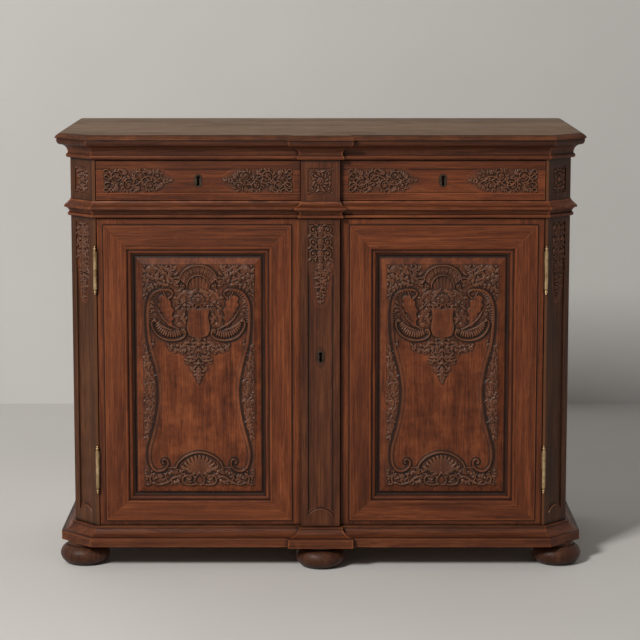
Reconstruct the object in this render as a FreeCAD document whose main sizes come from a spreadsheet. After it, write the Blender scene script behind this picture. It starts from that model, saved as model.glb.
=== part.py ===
import FreeCAD, Part
import math
import os
import Sketcher

# Carved oak sideboard with canted corners and a stepped centre.
# Millimetres. X runs along the front, Y from the front to the back, Z up.
# The origin is on the floor under the middle of the overall box.

# Driving sizes
SIZES = [
    ("case_width", 1250, "side face to side face"),
    ("case_depth", 553, "front face to back face"),
    ("cant_run", 61, "how far each canted corner cuts into front and side"),
    ("block_width", 96, "stepped centre, pilaster and frieze block"),
    ("block_projection", 15, "how far the centre stands forward"),
    ("foot_height", 58, "floor to the underside of the plinth"),
    ("plinth_height", 47, "plinth moulding"),
    ("door_height", 778, "door leaf"),
    ("door_gap", 2, "gap round a door leaf"),
    ("waist_height", 42, "rail between doors and drawers"),
    ("frieze_height", 101, "drawer opening"),
    ("top_rail_height", 51, "rail behind the cornice"),
    ("top_thickness", 14, "top board"),
    ("top_projection", 37, "nose of the top beyond the case"),
    ("top_arris_inset", 18, "from the nose back to the flat of the top"),
    ("back_overhang", 5, "top beyond the back face"),
    ("wall_thickness", 25, "posts and side rails"),
    ("stile_width", 60, "side stile of a post"),
    ("back_thickness", 18, "framing of the back"),
    ("thin_panel", 8, "side and back panels at the edge"),
    ("panel_rise", 6, "raised field over the panel's edge"),
    ("panel_bevel", 20, "width of the bevel round a raised field"),
    ("rail_depth", 40, "front rails, front to back"),
    ("board_thickness", 17, "bottom board and shelf"),
    ("dust_thickness", 8, "dust board"),
    ("side_bottom_rail", 92, "bottom rail of the side and back frames"),
    ("side_waist_rail", 58, "middle rail of the side frames"),
    ("back_muntin", 80, "upright in the middle of the back"),
    ("batten", 18, "bearers, stops and guides"),
    ("clearance", 2, "running gap round a drawer"),
    ("sliver", 0.4, "small working gap"),
    ("step", 2, "small quirk of a moulding"),
    ("overrun", 5, "how far a cutter passes the face it cuts"),
    ("plinth_projection", 34, "fillet at the foot of the plinth"),
    ("plinth_fillet", 24, "height of that fillet"),
    ("plinth_bead", 6, "height of the top member of the plinth"),
    ("plinth_bead_projection", 8, "top member of the plinth"),
    ("waist_projection", 16, "nose of the waist moulding"),
    ("waist_bead_projection", 8, "lower bead of the waist moulding"),
    ("waist_bead", 10, "height of the lower bead"),
    ("waist_nose", 7, "height of the nose"),
    ("waist_cove", 12, "height of the cove under the nose"),
    ("cornice_height", 48, "moulding under the top"),
    ("cornice_bead", 11, "height of the bead at its foot"),
    ("cornice_bead_projection", 8, "projection of that bead"),
    ("cornice_band", 15, "height of the band under the top"),
    ("cornice_cove_projection", 24, "top of the cove"),
    ("cornice_band_projection", 32, "band under the top"),
    ("foot_side_inset", 26, "corner foot in from the side face"),
    ("foot_front_inset", 45, "corner foot behind the front face"),
    ("centre_foot_inset", 12, "centre foot behind the front face"),
    ("back_foot_inset", 66, "back foot in from the back face"),
    ("foot_diameter", 126, "widest part of a bun foot"),
    ("foot_belly", 27, "height of the widest part"),
    ("foot_pad", 74, "diameter that stands on the floor"),
    ("foot_neck", 84, "diameter at the top"),
    ("foot_collar", 8, "height of the neck"),
    ("post_strip", 6.5, "flat of a post beside the door"),
    ("hinge_lip", 16.5, "door edge to facing, hinge side"),
    ("facing_hinge_width", 51, "facing beside the hinges"),
    ("meeting_lip", 25, "pilaster to facing"),
    ("facing_meeting_width", 48, "facing beside the pilaster"),
    ("facing_top_margin", 17, "door edge to facing, top"),
    ("facing_bottom_margin", 12, "door edge to facing, bottom"),
    ("facing_top_width", 54, "facing along the top"),
    ("facing_bottom_width", 45, "facing along the bottom"),
    ("facing_thickness", 4, "mitred facing"),
    ("door_thickness", 22, "door frame under the facing"),
    ("door_setback", 2, "door frame behind the case face"),
    ("moulding_width", 24, "panel moulding of a door"),
    ("moulding_proud", 1, "moulding in front of the facing"),
    ("moulding_first", 7, "width of its first round"),
    ("moulding_first_drop", 4, "fall of its first round"),
    ("moulding_second", 17, "where the second round ends"),
    ("moulding_step", 2.5, "quirk beside the first round"),
    ("moulding_second_drop", 4, "fall of its second round"),
    ("moulding_last_rise", 4, "lip that meets the panel"),
    ("door_panel_thickness", 8, "door panel at its edge"),
    ("door_panel_back", 4, "panel in front of the frame's back"),
    ("pilaster_recess", 64, "width of the sunk field of the pilaster"),
    ("cant_recess", 50, "width of the sunk field of a corner"),
    ("recess_depth", 4, "depth of the sunk fields"),
    ("recess_margin", 12, "sunk field to the top of its piece"),
    ("arch_spring", 24, "door foot to the spring of the arch"),
    ("arch_rise", 19, "rise of the arch"),
    ("frieze_margin", 17.5, "sunk square to the edge of the frieze"),
    ("drawer_front_thickness", 22, "drawer front"),
    ("drawer_field_rail", 18.5, "drawer edge to its sunk band, above and below"),
    ("drawer_field_margin", 19, "drawer end to that band"),
    ("drawer_field_depth", 2, "depth of that band"),
    ("drawer_side", 12, "drawer side and back"),
    ("drawer_head_room", 17, "drawer side to the rail above"),
    ("drawer_back_room", 113, "back of a drawer to the back framing"),
    ("drawer_bottom", 6, "drawer bottom"),
    ("drawer_bottom_rise", 6, "drawer bottom over the runner"),
    ("keyhole_width", 9, "round part of a keyhole"),
    ("keyhole_slot", 6, "slot of a keyhole"),
    ("keyhole_height", 25, "whole keyhole"),
    ("escutcheon_rim", 5, "metal left round a keyhole"),
    ("escutcheon_thickness", 0.8, "escutcheon plate"),
    ("door_keyhole_rise", 432, "foot of the door to its keyhole"),
    ("door_lock_width", 82, "door lock case"),
    ("door_lock_height", 64, "door lock case"),
    ("door_lock_depth", 16, "door lock case"),
    ("bolt_height", 12, "door lock bolt"),
    ("bolt_thickness", 6, "lock bolts"),
    ("bolt_length", 34, "lock bolts"),
    ("bolt_throw", 9, "travel of the lock bolts"),
    ("keeper_width", 20, "keeper on the right leaf"),
    ("drawer_lock_width", 62, "drawer lock case"),
    ("drawer_lock_height", 72, "drawer lock case"),
    ("drawer_lock_depth", 12, "drawer lock case"),
    ("drawer_lock_mortise", 7, "lock let into the drawer front"),
    ("drawer_bolt_width", 22, "drawer lock bolt"),
    ("hinge_radius", 4.5, "barrel of a hinge"),
    ("hinge_pin", 2.2, "radius of the hinge pin"),
    ("hinge_pin_gap", 0.06, "pin to its bore"),
    ("hinge_knuckle", 47, "length of each half barrel"),
    ("hinge_finial", 14, "length of a finial"),
    ("hinge_pin_length", 36, "pin above the joint of the barrel"),
    ("hinge_stand_off", 0.5, "barrel in front of the case face"),
    ("hinge_leaf", 1.5, "thickness of a leaf"),
    ("hinge_leaf_depth", 22, "leaf along the edge of the door"),
    ("upper_hinge_drop", 129, "top of the door to the middle of its hinge"),
    ("lower_hinge_rise", 143, "foot of the door to the middle of its hinge"),
    ("shoot_bolt_inset", 38, "shoot bolts in from the edge of the right leaf"),
    ("shoot_bolt_radius", 3.5, "rod of a shoot bolt"),
    ("shoot_bolt_length", 110, "rod of a shoot bolt"),
    ("shoot_bolt_throw", 12, "travel of a shoot bolt"),
    ("shoot_plate_width", 24, "plate behind a shoot bolt"),
    ("shoot_plate_thickness", 2, "plate behind a shoot bolt"),
    ("shoot_guide_height", 10, "guide of a shoot bolt"),
    ("shoot_guide_depth", 13, "guide of a shoot bolt"),
    ("shoot_knob_radius", 4, "knob of a shoot bolt"),
    ("shoot_knob_length", 16, "knob of a shoot bolt"),
    ("shelf_rise", 385, "bottom board to the underside of the shelf"),
    ("shelf_setback", 32, "shelf behind the doors"),
    ("stop_size", 15, "door stops, square in section"),
    ("foot_block", 90, "block over a foot"),
]

# Fixed proportions
QUARTER_SHARE = 0.207
SHALLOW_SHARE = 0.14
HALF_ROUND_SHARE = 0.414
SOLE_ROUND_SHARE = 0.186
BELLY_ROUND_SHARE = 0.166
FINIAL_NECK_SHARE = 0.55
FINIAL_WAIST_SHARE = 0.4
FINIAL_HEIGHT_SHARES = (0.18, 0.3, 0.72, 0.84)
FINIAL_BALL_SHARE = 0.33
OCTANT_SHARE = math.tan(math.radians(22.5))
CANT_ANGLE = 45
RUNS = 9

doc = FreeCAD.newDocument("Sideboard")
sheet = doc.addObject("Spreadsheet::Sheet", "Sizes")


class Size:
    """A size that knows its value and the sheet expression behind it."""

    def __init__(self, value, text):
        self.value = float(value)
        self.text = text

    def __add__(self, other):
        other = as_size(other)
        return Size(self.value + other.value, "(%s + %s)" % (self.text, other.text))

    def __sub__(self, other):
        other = as_size(other)
        return Size(self.value - other.value, "(%s - %s)" % (self.text, other.text))

    def __mul__(self, other):
        other = as_size(other)
        return Size(self.value * other.value, "(%s) * (%s)" % (self.text, other.text))

    def __truediv__(self, other):
        other = as_size(other)
        return Size(self.value / other.value, "(%s) / (%s)" % (self.text, other.text))

    def __rtruediv__(self, other):
        return as_size(other) / self

    def __radd__(self, other):
        return as_size(other) + self

    def __rsub__(self, other):
        return as_size(other) - self

    def __rmul__(self, other):
        return as_size(other) * self

    def __neg__(self):
        return Size(-self.value, "(0 - %s)" % self.text)


def as_size(number):
    """A plain number as a size."""
    if isinstance(number, Size):
        return number
    return Size(number, repr(float(number)))


def chord(across, along):
    """The straight distance of two offsets."""
    square = across * across + along * along
    return Size(math.sqrt(square.value), "sqrt(%s)" % square.text)


class Sheet:
    """The aliases of the spreadsheet as sizes."""


def fill_sheet():
    """Write the driving sizes into the spreadsheet."""
    names = Sheet()
    for row, (alias, value, note) in enumerate(SIZES, 1):
        sheet.set("A%d" % row, alias)
        sheet.set("B%d" % row, str(value))
        sheet.set("C%d" % row, note)
        sheet.setAlias("B%d" % row, alias)
        setattr(names, alias, Size(value, "Sizes." + alias))
    doc.recompute()
    return names


s = fill_sheet()
ZERO = as_size(0)


# Construction helpers

def bind(item, prop, size):
    """Tie a property to its expression."""
    item.setExpression(prop, as_size(size).text)


def place(item, x=ZERO, y=ZERO, z=ZERO, angle=0):
    """Tie the position of an object, turned about Z by a fixed angle."""
    turn = FreeCAD.Rotation(FreeCAD.Vector(0, 0, 1), angle)
    start = FreeCAD.Vector(as_size(x).value, as_size(y).value, as_size(z).value)
    item.Placement = FreeCAD.Placement(start, turn)
    for axis, size in zip("xyz", (x, y, z)):
        bind(item, "Placement.Base." + axis, size)
    return item


def board(name, x, y, z):
    """A square-edged board between two values on each axis."""
    box = doc.addObject("Part::Box", name)
    bind(box, "Length", x[1] - x[0])
    bind(box, "Width", y[1] - y[0])
    bind(box, "Height", z[1] - z[0])
    return place(box, x[0], y[0], z[0])


def rod(name, radius, length, x, y, z, direction="z"):
    """A round rod that starts at a point and runs along Z or Y."""
    item = doc.addObject("Part::Cylinder", name)
    bind(item, "Radius", radius)
    bind(item, "Height", length)
    place(item, x, y, z)
    tilt = {"z": 0, "y": -90}[direction]
    item.Placement.Rotation = FreeCAD.Rotation(FreeCAD.Vector(1, 0, 0), tilt)
    return item


def origin_plane(body, name):
    """One of the body's own origin planes."""
    for feature in body.Origin.OriginFeatures:
        if feature.Role == name + "_Plane":
            return feature


def pin_point(sketch, index, end, tag, x, y):
    """Tie one point of a sketch to its coordinates."""
    for letter, kind, size in (("x", "DistanceX", x), ("y", "DistanceY", y)):
        size = as_size(size)
        row = sketch.addConstraint(Sketcher.Constraint(kind, -1, 1, index, end, size.value))
        sketch.renameConstraint(row, letter + tag)
        sketch.setExpression("Constraints." + letter + tag, size.text)


def draw_edge(sketch, start, finish, share):
    """Add a line, or an arc that bulges to the right of travel by a share of its chord."""
    a = FreeCAD.Vector(as_size(start[0]).value, as_size(start[1]).value, 0)
    b = FreeCAD.Vector(as_size(finish[0]).value, as_size(finish[1]).value, 0)
    share = as_size(share)
    if not share.value:
        return sketch.addGeometry(Part.LineSegment(a, b), False), 1, 2
    run = b - a
    right = FreeCAD.Vector(run.y, -run.x, 0)
    middle = (a + b) * 0.5 + right * share.value
    index = sketch.addGeometry(Part.Arc(a, middle, b), False)
    swapped = sketch.getPoint(index, 1).distanceToPoint(a) > sketch.getPoint(index, 2).distanceToPoint(a)
    span = chord(as_size(finish[0]) - start[0], as_size(finish[1]) - start[1])
    size = share if share.value > 0 else -share
    radius = span * (1 / (8 * size) + size / 2)
    row = sketch.addConstraint(Sketcher.Constraint("Radius", index, radius.value))
    sketch.renameConstraint(row, "r%d" % index)
    sketch.setExpression("Constraints.r%d" % index, radius.text)
    return (index, 2, 1) if swapped else (index, 1, 2)


def sketch_path(body, name, plane, points, offset=ZERO, closed=True):
    """A sketch of lines and arcs on an origin plane. A point is (x, y) or (x, y, share)."""
    sketch = body.newObject("Sketcher::SketchObject", name)
    sketch.AttachmentSupport = [(origin_plane(body, plane), "")]
    sketch.MapMode = "FlatFace"
    sketch.AttachmentOffset = FreeCAD.Placement(
        FreeCAD.Vector(0, 0, as_size(offset).value), FreeCAD.Rotation())
    bind(sketch, "AttachmentOffset.Base.z", offset)
    count = len(points) if closed else len(points) - 1
    ends = []
    for number in range(count):
        start = points[number]
        finish = points[(number + 1) % len(points)]
        share = start[2] if len(start) > 2 else 0
        ends.append(draw_edge(sketch, start, finish, share))
        pin_point(sketch, ends[-1][0], ends[-1][1], "p%d" % number, start[0], start[1])
    if not closed:
        pin_point(sketch, ends[-1][0], ends[-1][2], "last", points[-1][0], points[-1][1])
    for number in range(count if closed else count - 1):
        here = ends[number]
        following = ends[(number + 1) % count]
        link = Sketcher.Constraint("Coincident", here[0], here[2], following[0], following[1])
        sketch.addConstraint(link)
    return sketch


def prism(name, plane, span, points):
    """A body whose outline is padded between two values on the axis across its plane."""
    body = doc.addObject("PartDesign::Body", name)
    start = -as_size(span[1]) if plane == "XZ" else as_size(span[0])
    sketch = sketch_path(body, name + "_outline", plane, points, start)
    pad = body.newObject("PartDesign::Pad", name + "_pad")
    pad.Profile = sketch
    length = as_size(span[1]) - span[0]
    pad.Length = length.value
    bind(pad, "Length", length)
    return body


def turned(name, points, x, y, z):
    """A body turned about its own upright axis. A point is (radius, height)."""
    body = doc.addObject("PartDesign::Body", name)
    sketch = sketch_path(body, name + "_outline", "XZ", points)
    turn = body.newObject("PartDesign::Revolution", name + "_turning")
    turn.Profile = sketch
    turn.ReferenceAxis = (sketch, ["V_Axis"])
    turn.Angle = 360
    return place(body, x, y, z)


def cut(name, base, tool):
    """The base with the tool taken away."""
    item = doc.addObject("Part::Cut", name)
    item.Base = base
    item.Tool = tool
    return item


def fuse(name, shapes):
    """Several touching shapes as one solid."""
    item = doc.addObject("Part::MultiFuse", name)
    item.Shapes = shapes
    item.Refine = True
    return item


def common(name, first, second):
    """What two shapes share."""
    item = doc.addObject("Part::Common", name)
    item.Base = first
    item.Tool = second
    return item


def mirrored(name, source):
    """The same piece on the other side of the middle."""
    item = doc.addObject("Part::Mirroring", name)
    item.Source = source
    item.Normal = FreeCAD.Vector(1, 0, 0)
    return item


def group(name, shapes):
    """Several separate solids as one piece."""
    item = doc.addObject("Part::Compound", name)
    item.Links = shapes
    return item


SUBPARTS = []


def keep(item):
    """Mark an object as a finished piece that gets its own file."""
    SUBPARTS.append(item)
    return item


def flip(x):
    """A range on X on the other side of the middle."""
    return (-as_size(x[1]), -as_size(x[0]))


# Heights, from the floor up
plinth_top = s.foot_height + s.plinth_height
door_bottom = plinth_top + s.door_gap
door_top = door_bottom + s.door_height
waist_bottom = door_top + s.door_gap
waist_top = waist_bottom + s.waist_height
frieze_top = waist_top + s.frieze_height
case_top = frieze_top + s.top_rail_height
full_height = case_top + s.top_thickness

# Places on X and Y
side = s.case_width / 2
corner_x = side - s.cant_run
block = s.block_width / 2
depth = s.case_depth + s.block_projection + s.top_projection + s.back_overhang
face = s.top_projection + s.block_projection - depth / 2
back = depth / 2 - s.back_overhang
block_face = face - s.block_projection
corner_y = face + s.cant_run
inner_side = side - s.wall_thickness
post_x = corner_x - s.post_strip
door_edge = post_x - s.door_gap
rail_back = face + s.rail_depth
back_inner = back - s.back_thickness
post_near = corner_y + s.wall_thickness * OCTANT_SHARE
post_diagonal = post_near + post_x - inner_side


def outline(projection):
    """Corners of the case in plan, moved out by a projection, from left back to right back."""
    drift = projection * OCTANT_SHARE
    half = [
        (block + projection, block_face - projection),
        (block + projection, face - projection),
        (corner_x + drift, face - projection),
        (side + projection, corner_y - drift),
        (side + projection, back),
    ]
    left = [(-x, y) for x, y in reversed(half)]
    return left + half


def closed_outline(projection, back_edge):
    """The same corners with the back edge at its own place."""
    points = outline(projection)
    first = (points[0][0], back_edge)
    last = (points[-1][0], back_edge)
    return [first] + points[1:-1] + [last]


# Mouldings round the case

def case_moulding(name, profile, reach):
    """A moulding in mitred lengths round both sides and the front."""
    body = doc.addObject("PartDesign::Body", name + "_ring")
    path = sketch_path(body, name + "_path", "XY", outline(ZERO), closed=False)
    points = [(-(side + point[0]), point[1]) + tuple(-share for share in point[2:])
              for point in profile]
    section = sketch_path(body, name + "_section", "XZ", points, -back)
    pipe = body.newObject("PartDesign::AdditivePipe", name + "_pipe")
    pipe.Profile = section
    pipe.Spine = (path, ["Edge%d" % (number + 1) for number in range(RUNS)])
    pipe.Transition = "Right corner"
    inner = outline(ZERO)
    outer = outline(reach + s.overrun)
    lengths = []
    for number in range(RUNS):
        corners = [inner[number], inner[number + 1], outer[number + 1], outer[number]]
        tag = "%s_length_%d" % (name, number + 1)
        bounds = (as_size(profile[0][1]) - s.overrun, case_top + s.overrun)
        block_of_run = prism(tag + "_mitre", "XY", bounds, corners)
        lengths.append(common(tag, body, block_of_run))
    return keep(group(name, lengths))


def plinth_profile():
    """Fillet, cove and top member, as projection and height."""
    fillet_top = s.foot_height + s.plinth_fillet
    cove_top = plinth_top - s.plinth_bead
    lip = s.plinth_projection - s.step
    return [
        (ZERO, s.foot_height),
        (s.plinth_projection, s.foot_height),
        (s.plinth_projection, fillet_top),
        (lip, fillet_top, -SHALLOW_SHARE),
        (s.plinth_bead_projection, cove_top),
        (s.plinth_bead_projection, plinth_top),
        (ZERO, plinth_top),
    ]


def waist_profile():
    """Bead, cove, round nose and sloped top."""
    bead_top = waist_bottom + s.waist_bead
    cove_top = bead_top + s.waist_cove
    nose_top = cove_top + s.waist_nose
    neck = s.waist_bead_projection / 2
    return [
        (ZERO, waist_bottom),
        (neck, waist_bottom),
        (s.waist_bead_projection, waist_bottom + s.waist_bead / 4),
        (s.waist_bead_projection, bead_top - s.waist_bead / 4),
        (neck, bead_top, -SHALLOW_SHARE),
        (s.waist_projection - s.step, cove_top),
        (s.waist_projection, cove_top, QUARTER_SHARE),
        (s.waist_projection - s.step, nose_top, -SHALLOW_SHARE),
        (s.step, waist_top),
        (ZERO, waist_top),
    ]


def cornice_profile():
    """Bead, cove and band under the top."""
    bottom = case_top - s.cornice_height
    bead_top = bottom + s.cornice_bead
    cove_top = case_top - s.cornice_band
    neck = s.cornice_bead_projection * 3 / 4
    return [
        (ZERO, bottom),
        (neck, bottom, HALF_ROUND_SHARE),
        (neck, bead_top, -QUARTER_SHARE),
        (s.cornice_cove_projection, cove_top),
        (s.cornice_cove_projection + s.step, cove_top, QUARTER_SHARE),
        (s.cornice_band_projection, case_top),
        (ZERO, case_top),
    ]


def make_mouldings():
    """Plinth, waist and cornice mouldings."""
    case_moulding("plinth_moulding", plinth_profile(), s.plinth_projection)
    case_moulding("waist_moulding", waist_profile(), s.waist_projection)
    case_moulding("cornice_moulding", cornice_profile(), s.cornice_band_projection)


def make_top():
    """Top board: a flat with a thumb-moulded edge on three sides."""
    flat_reach = s.top_projection - s.top_arris_inset
    body = prism("top_board", "XY", (case_top, full_height),
                 closed_outline(flat_reach, back + s.back_overhang))
    path_points = outline(ZERO)
    back_edge = back + s.back_overhang
    path_points[0] = (path_points[0][0], back_edge)
    path_points[-1] = (path_points[-1][0], back_edge)
    path = sketch_path(body, "top_path", "XY", path_points, closed=False)
    nose = s.top_projection
    profile = [
        (-(side + flat_reach), case_top),
        (-(side + nose - s.step), case_top),
        (-(side + nose), case_top + s.step, -SHALLOW_SHARE),
        (-(side + flat_reach), full_height),
    ]
    section = sketch_path(body, "top_section", "XZ", profile, -back_edge)
    pipe = body.newObject("PartDesign::AdditivePipe", "top_edge")
    pipe.Profile = section
    pipe.Spine = (path, ["Edge%d" % (number + 1) for number in range(RUNS)])
    pipe.Transition = "Right corner"
    keep(body)


# Case

def recess_cutter(name, width, bottom, top, arched):
    """A sunk field in its own frame: width on X, depth on Y, with an arched or square foot."""
    half = width / 2
    points = [(-half, bottom, -as_size(arched)), (half, bottom), (half, top), (-half, top)]
    return prism(name, "XZ", (-s.overrun, s.recess_depth), points)


def on_cant(cutter):
    """Set a cutter on the face of the right canted corner."""
    return place(cutter, side - s.cant_run / 2, corner_y - s.cant_run / 2, ZERO, CANT_ANGLE)


def frieze_square_span():
    """Bottom and top of the sunk squares of the frieze."""
    return waist_top + s.frieze_margin, frieze_top - s.frieze_margin


def make_posts():
    """Canted front posts with sunk fields, and plain back posts."""
    plan = [
        (post_x, face),
        (corner_x, face),
        (side, corner_y),
        (side, corner_y + s.stile_width),
        (inner_side, corner_y + s.stile_width),
        (inner_side, post_near),
        (post_x, post_diagonal),
    ]
    post = prism("front_post_plank", "XY", (s.foot_height, case_top), plan)
    arch_share = s.arch_rise / s.cant_recess
    field = recess_cutter("cant_field", s.cant_recess, door_bottom + s.arch_spring,
                          door_top - s.recess_margin, arch_share)
    low, high = frieze_square_span()
    square = recess_cutter("cant_square", s.cant_recess, low, high, 0)
    sunk = cut("front_post_sunk", post, on_cant(field))
    right = cut("right_front_post", sunk, on_cant(square))
    keep(right)
    keep(mirrored("left_front_post", right))
    stand = board("right_back_post", (inner_side, side), (back - s.stile_width, back),
                  (s.foot_height, case_top))
    keep(stand)
    keep(mirrored("left_back_post", stand))


def make_front_rails():
    """Rails across the front, and the stepped blocks of the centre."""
    across = (-post_x, post_x)
    base = board("base_rail_plank", across, (face, face + s.wall_thickness),
                 (s.foot_height, plinth_top - s.board_thickness))
    step = board("base_rail_step", (-block, block), (block_face, face), (s.foot_height, plinth_top))
    keep(group("base_rail", [base, step]))
    waist = board("waist_plank", across, (face, rail_back), (waist_bottom, waist_top))
    hole = rod("waist_bolt_hole", s.shoot_bolt_radius + s.sliver, s.shoot_bolt_throw + s.overrun * 2,
               shoot_bolt_x, shoot_bolt_y, waist_bottom - s.overrun)
    keep(cut("waist_rail", waist, hole))
    top = board("top_plank", across, (face, rail_back), (frieze_top, case_top))
    slots = []
    for number, middle in enumerate((-drawer_middle, drawer_middle)):
        half = s.drawer_bolt_width / 2 + s.sliver
        slot = board("top_rail_slot_%d" % (number + 1), (middle - half, middle + half),
                     (drawer_bolt_front - s.sliver, drawer_bolt_front + s.bolt_thickness + s.sliver),
                     (frieze_top - s.overrun, frieze_top + s.bolt_throw + s.sliver))
        slots.append(slot)
    keep(cut("top_front_rail", top, fuse("top_rail_slots", slots)))
    plan = [
        (block_face, waist_bottom),
        (face, waist_bottom),
        (face, waist_top),
        (face + s.wall_thickness, waist_top),
        (face + s.wall_thickness, frieze_top),
        (face, frieze_top),
        (face, case_top),
        (block_face, case_top),
    ]
    stem = prism("frieze_stem", "YZ", (-block, block), plan)
    low, high = frieze_square_span()
    square = place(recess_cutter("frieze_field", s.pilaster_recess, low, high, 0), ZERO, block_face)
    keep(cut("centre_frieze_block", stem, square))


def make_sides():
    """Framed sides: rails between the posts, a frieze panel and a raised main panel."""
    span = (corner_y + s.stile_width, back - s.stile_width)
    bottom_top = s.foot_height + s.side_bottom_rail
    middle_low = waist_bottom + s.waist_height / 2 - s.side_waist_rail / 2
    middle_high = middle_low + s.side_waist_rail
    wall = (inner_side, side)
    rails = [
        board("side_rail_bottom", wall, span, (s.foot_height, bottom_top)),
        board("side_rail_waist", wall, span, (middle_low, middle_high)),
        board("side_rail_top", wall, span, (frieze_top, case_top)),
    ]
    right = keep(group("right_side_rails", rails))
    keep(mirrored("left_side_rails", right))
    sheet_x = (inner_side + s.panel_rise, inner_side + s.panel_rise + s.thin_panel)
    main = raised_panel("side_panel_main", sheet_x, span, (bottom_top, middle_low))
    upper = board("side_panel_frieze", sheet_x, span, (middle_high, frieze_top))
    panels = keep(group("right_side_panels", [main, upper]))
    keep(mirrored("left_side_panels", panels))


def raised_panel(name, x, y, z):
    """A side panel with a bevelled field that faces out along X."""
    sheet_board = board(name + "_sheet", x, y, z)
    field = doc.addObject("Part::Wedge", name + "_field")
    wide = y[1] - y[0]
    tall = z[1] - z[0]
    edge = s.panel_bevel
    bounds = {
        "Xmin": edge, "Xmax": wide - edge, "Zmin": edge, "Zmax": tall - edge,
        "Ymin": ZERO, "Ymax": s.panel_rise,
        "X2min": edge * 2, "X2max": wide - edge * 2, "Z2min": edge * 2, "Z2max": tall - edge * 2,
    }
    for prop, size in bounds.items():
        setattr(field, prop, as_size(size).value)
    for prop, size in bounds.items():
        bind(field, prop, size)
    place(field, x[1], y[1], z[0], -90)
    return fuse(name, [sheet_board, field])


def make_back():
    """Back framing and its two panels."""
    frame_y = (back_inner, back)
    across = (-inner_side, inner_side)
    low = s.foot_height + s.side_bottom_rail
    half = s.back_muntin / 2
    frame = [
        board("back_rail_bottom", across, frame_y, (s.foot_height, low)),
        board("back_rail_top", across, frame_y, (frieze_top, case_top)),
        board("back_upright", (-half, half), frame_y, (low, frieze_top)),
    ]
    keep(group("back_frame", frame))
    sheet_y = (back_inner + s.step, back_inner + s.step + s.thin_panel)
    right = (half, inner_side)
    panels = [
        board("back_panel_right", right, sheet_y, (low, frieze_top)),
        board("back_panel_left", flip(right), sheet_y, (low, frieze_top)),
    ]
    keep(group("back_panels", panels))


def make_inside():
    """Bottom board, shelf, dust board, bearers, runners, guides and stops."""
    right = [
        (post_x, face),
        (post_x, post_diagonal),
        (inner_side, post_near),
        (inner_side, back_inner),
    ]
    left = [(-x, y) for x, y in reversed(right)]
    plank = prism("bottom_plank", "XY", (plinth_top - s.board_thickness, plinth_top), right + left)
    hole = rod("bottom_bolt_hole", s.shoot_bolt_radius + s.sliver,
               s.board_thickness + s.overrun * 2, shoot_bolt_x, shoot_bolt_y,
               plinth_top - s.board_thickness - s.overrun)
    keep(cut("bottom_board", plank, hole))
    shelf_front = door_back + s.shelf_setback
    shelf_z = plinth_top + s.shelf_rise
    room = (-inner_side, inner_side)
    keep(fitted_board("shelf", shelf_front, (shelf_z, shelf_z + s.board_thickness)))
    bearer = (inner_side - s.batten, inner_side)
    bearer_y = (post_near, back_inner - s.batten)
    bearer_z = (shelf_z - s.batten * 2, shelf_z)
    bearers = [
        board("bearer_right", bearer, bearer_y, bearer_z),
        board("bearer_left", flip(bearer), bearer_y, bearer_z),
        board("bearer_back", room, (back_inner - s.batten, back_inner), bearer_z),
    ]
    keep(group("shelf_bearers", bearers))
    runner_top = waist_top
    dust_top = runner_top - s.batten
    keep(fitted_board("dust_board", rail_back, (dust_top - s.dust_thickness, dust_top)))
    make_runners(dust_top, runner_top)
    stop_y = (door_back + s.sliver, door_back + s.sliver + s.stop_size)
    lower = (as_size(plinth_top), plinth_top + s.stop_size)
    upper = (waist_bottom - s.stop_size, as_size(waist_bottom))
    near = shoot_bolt_x + s.shoot_plate_width
    far = post_x - s.wall_thickness
    stops = []
    for tag, z in (("lower", lower), ("upper", upper)):
        stops.append(board("stop_%s_right" % tag, (near, far), stop_y, z))
        stops.append(board("stop_%s_left" % tag, flip((near, far)), stop_y, z))
    keep(group("door_stops", stops))


def fitted_plan(front):
    """Front corner, post corner and back corner of a board that clears the right post."""
    return [(inner_side + front - post_near, front), (inner_side, post_near), (inner_side, back_inner)]


def fitted_board(name, front, z):
    """A board from side to side whose front corners clear the posts."""
    right = fitted_plan(front)
    left = [(-x, y) for x, y in reversed(right)]
    return prism(name, "XY", z, right + left)


def make_runners(dust_top, runner_top):
    """Runners under the drawer sides, with guides beside them."""
    run_y = (rail_back, back_inner)
    low = (dust_top, runner_top)
    high = (as_size(runner_top), runner_top + s.batten)
    wide = s.batten * 2
    levels = [
        ("runner", low, drawer_outer - s.clearance - wide, drawer_inner + s.clearance + wide),
        ("guide", high, drawer_outer + s.sliver, drawer_inner - s.sliver),
    ]
    pieces = []
    for tag, z, outer_start, middle_half in levels:
        plan = [(outer_start, rail_back)] + fitted_plan(rail_back) + [(outer_start, back_inner)]
        right = prism(tag + "_right", "XY", z, plan)
        pieces.append(right)
        pieces.append(mirrored(tag + "_left", right))
        pieces.append(board(tag + "_middle", (-middle_half, middle_half), run_y, z))
    keep(group("drawer_runners", pieces))


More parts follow.
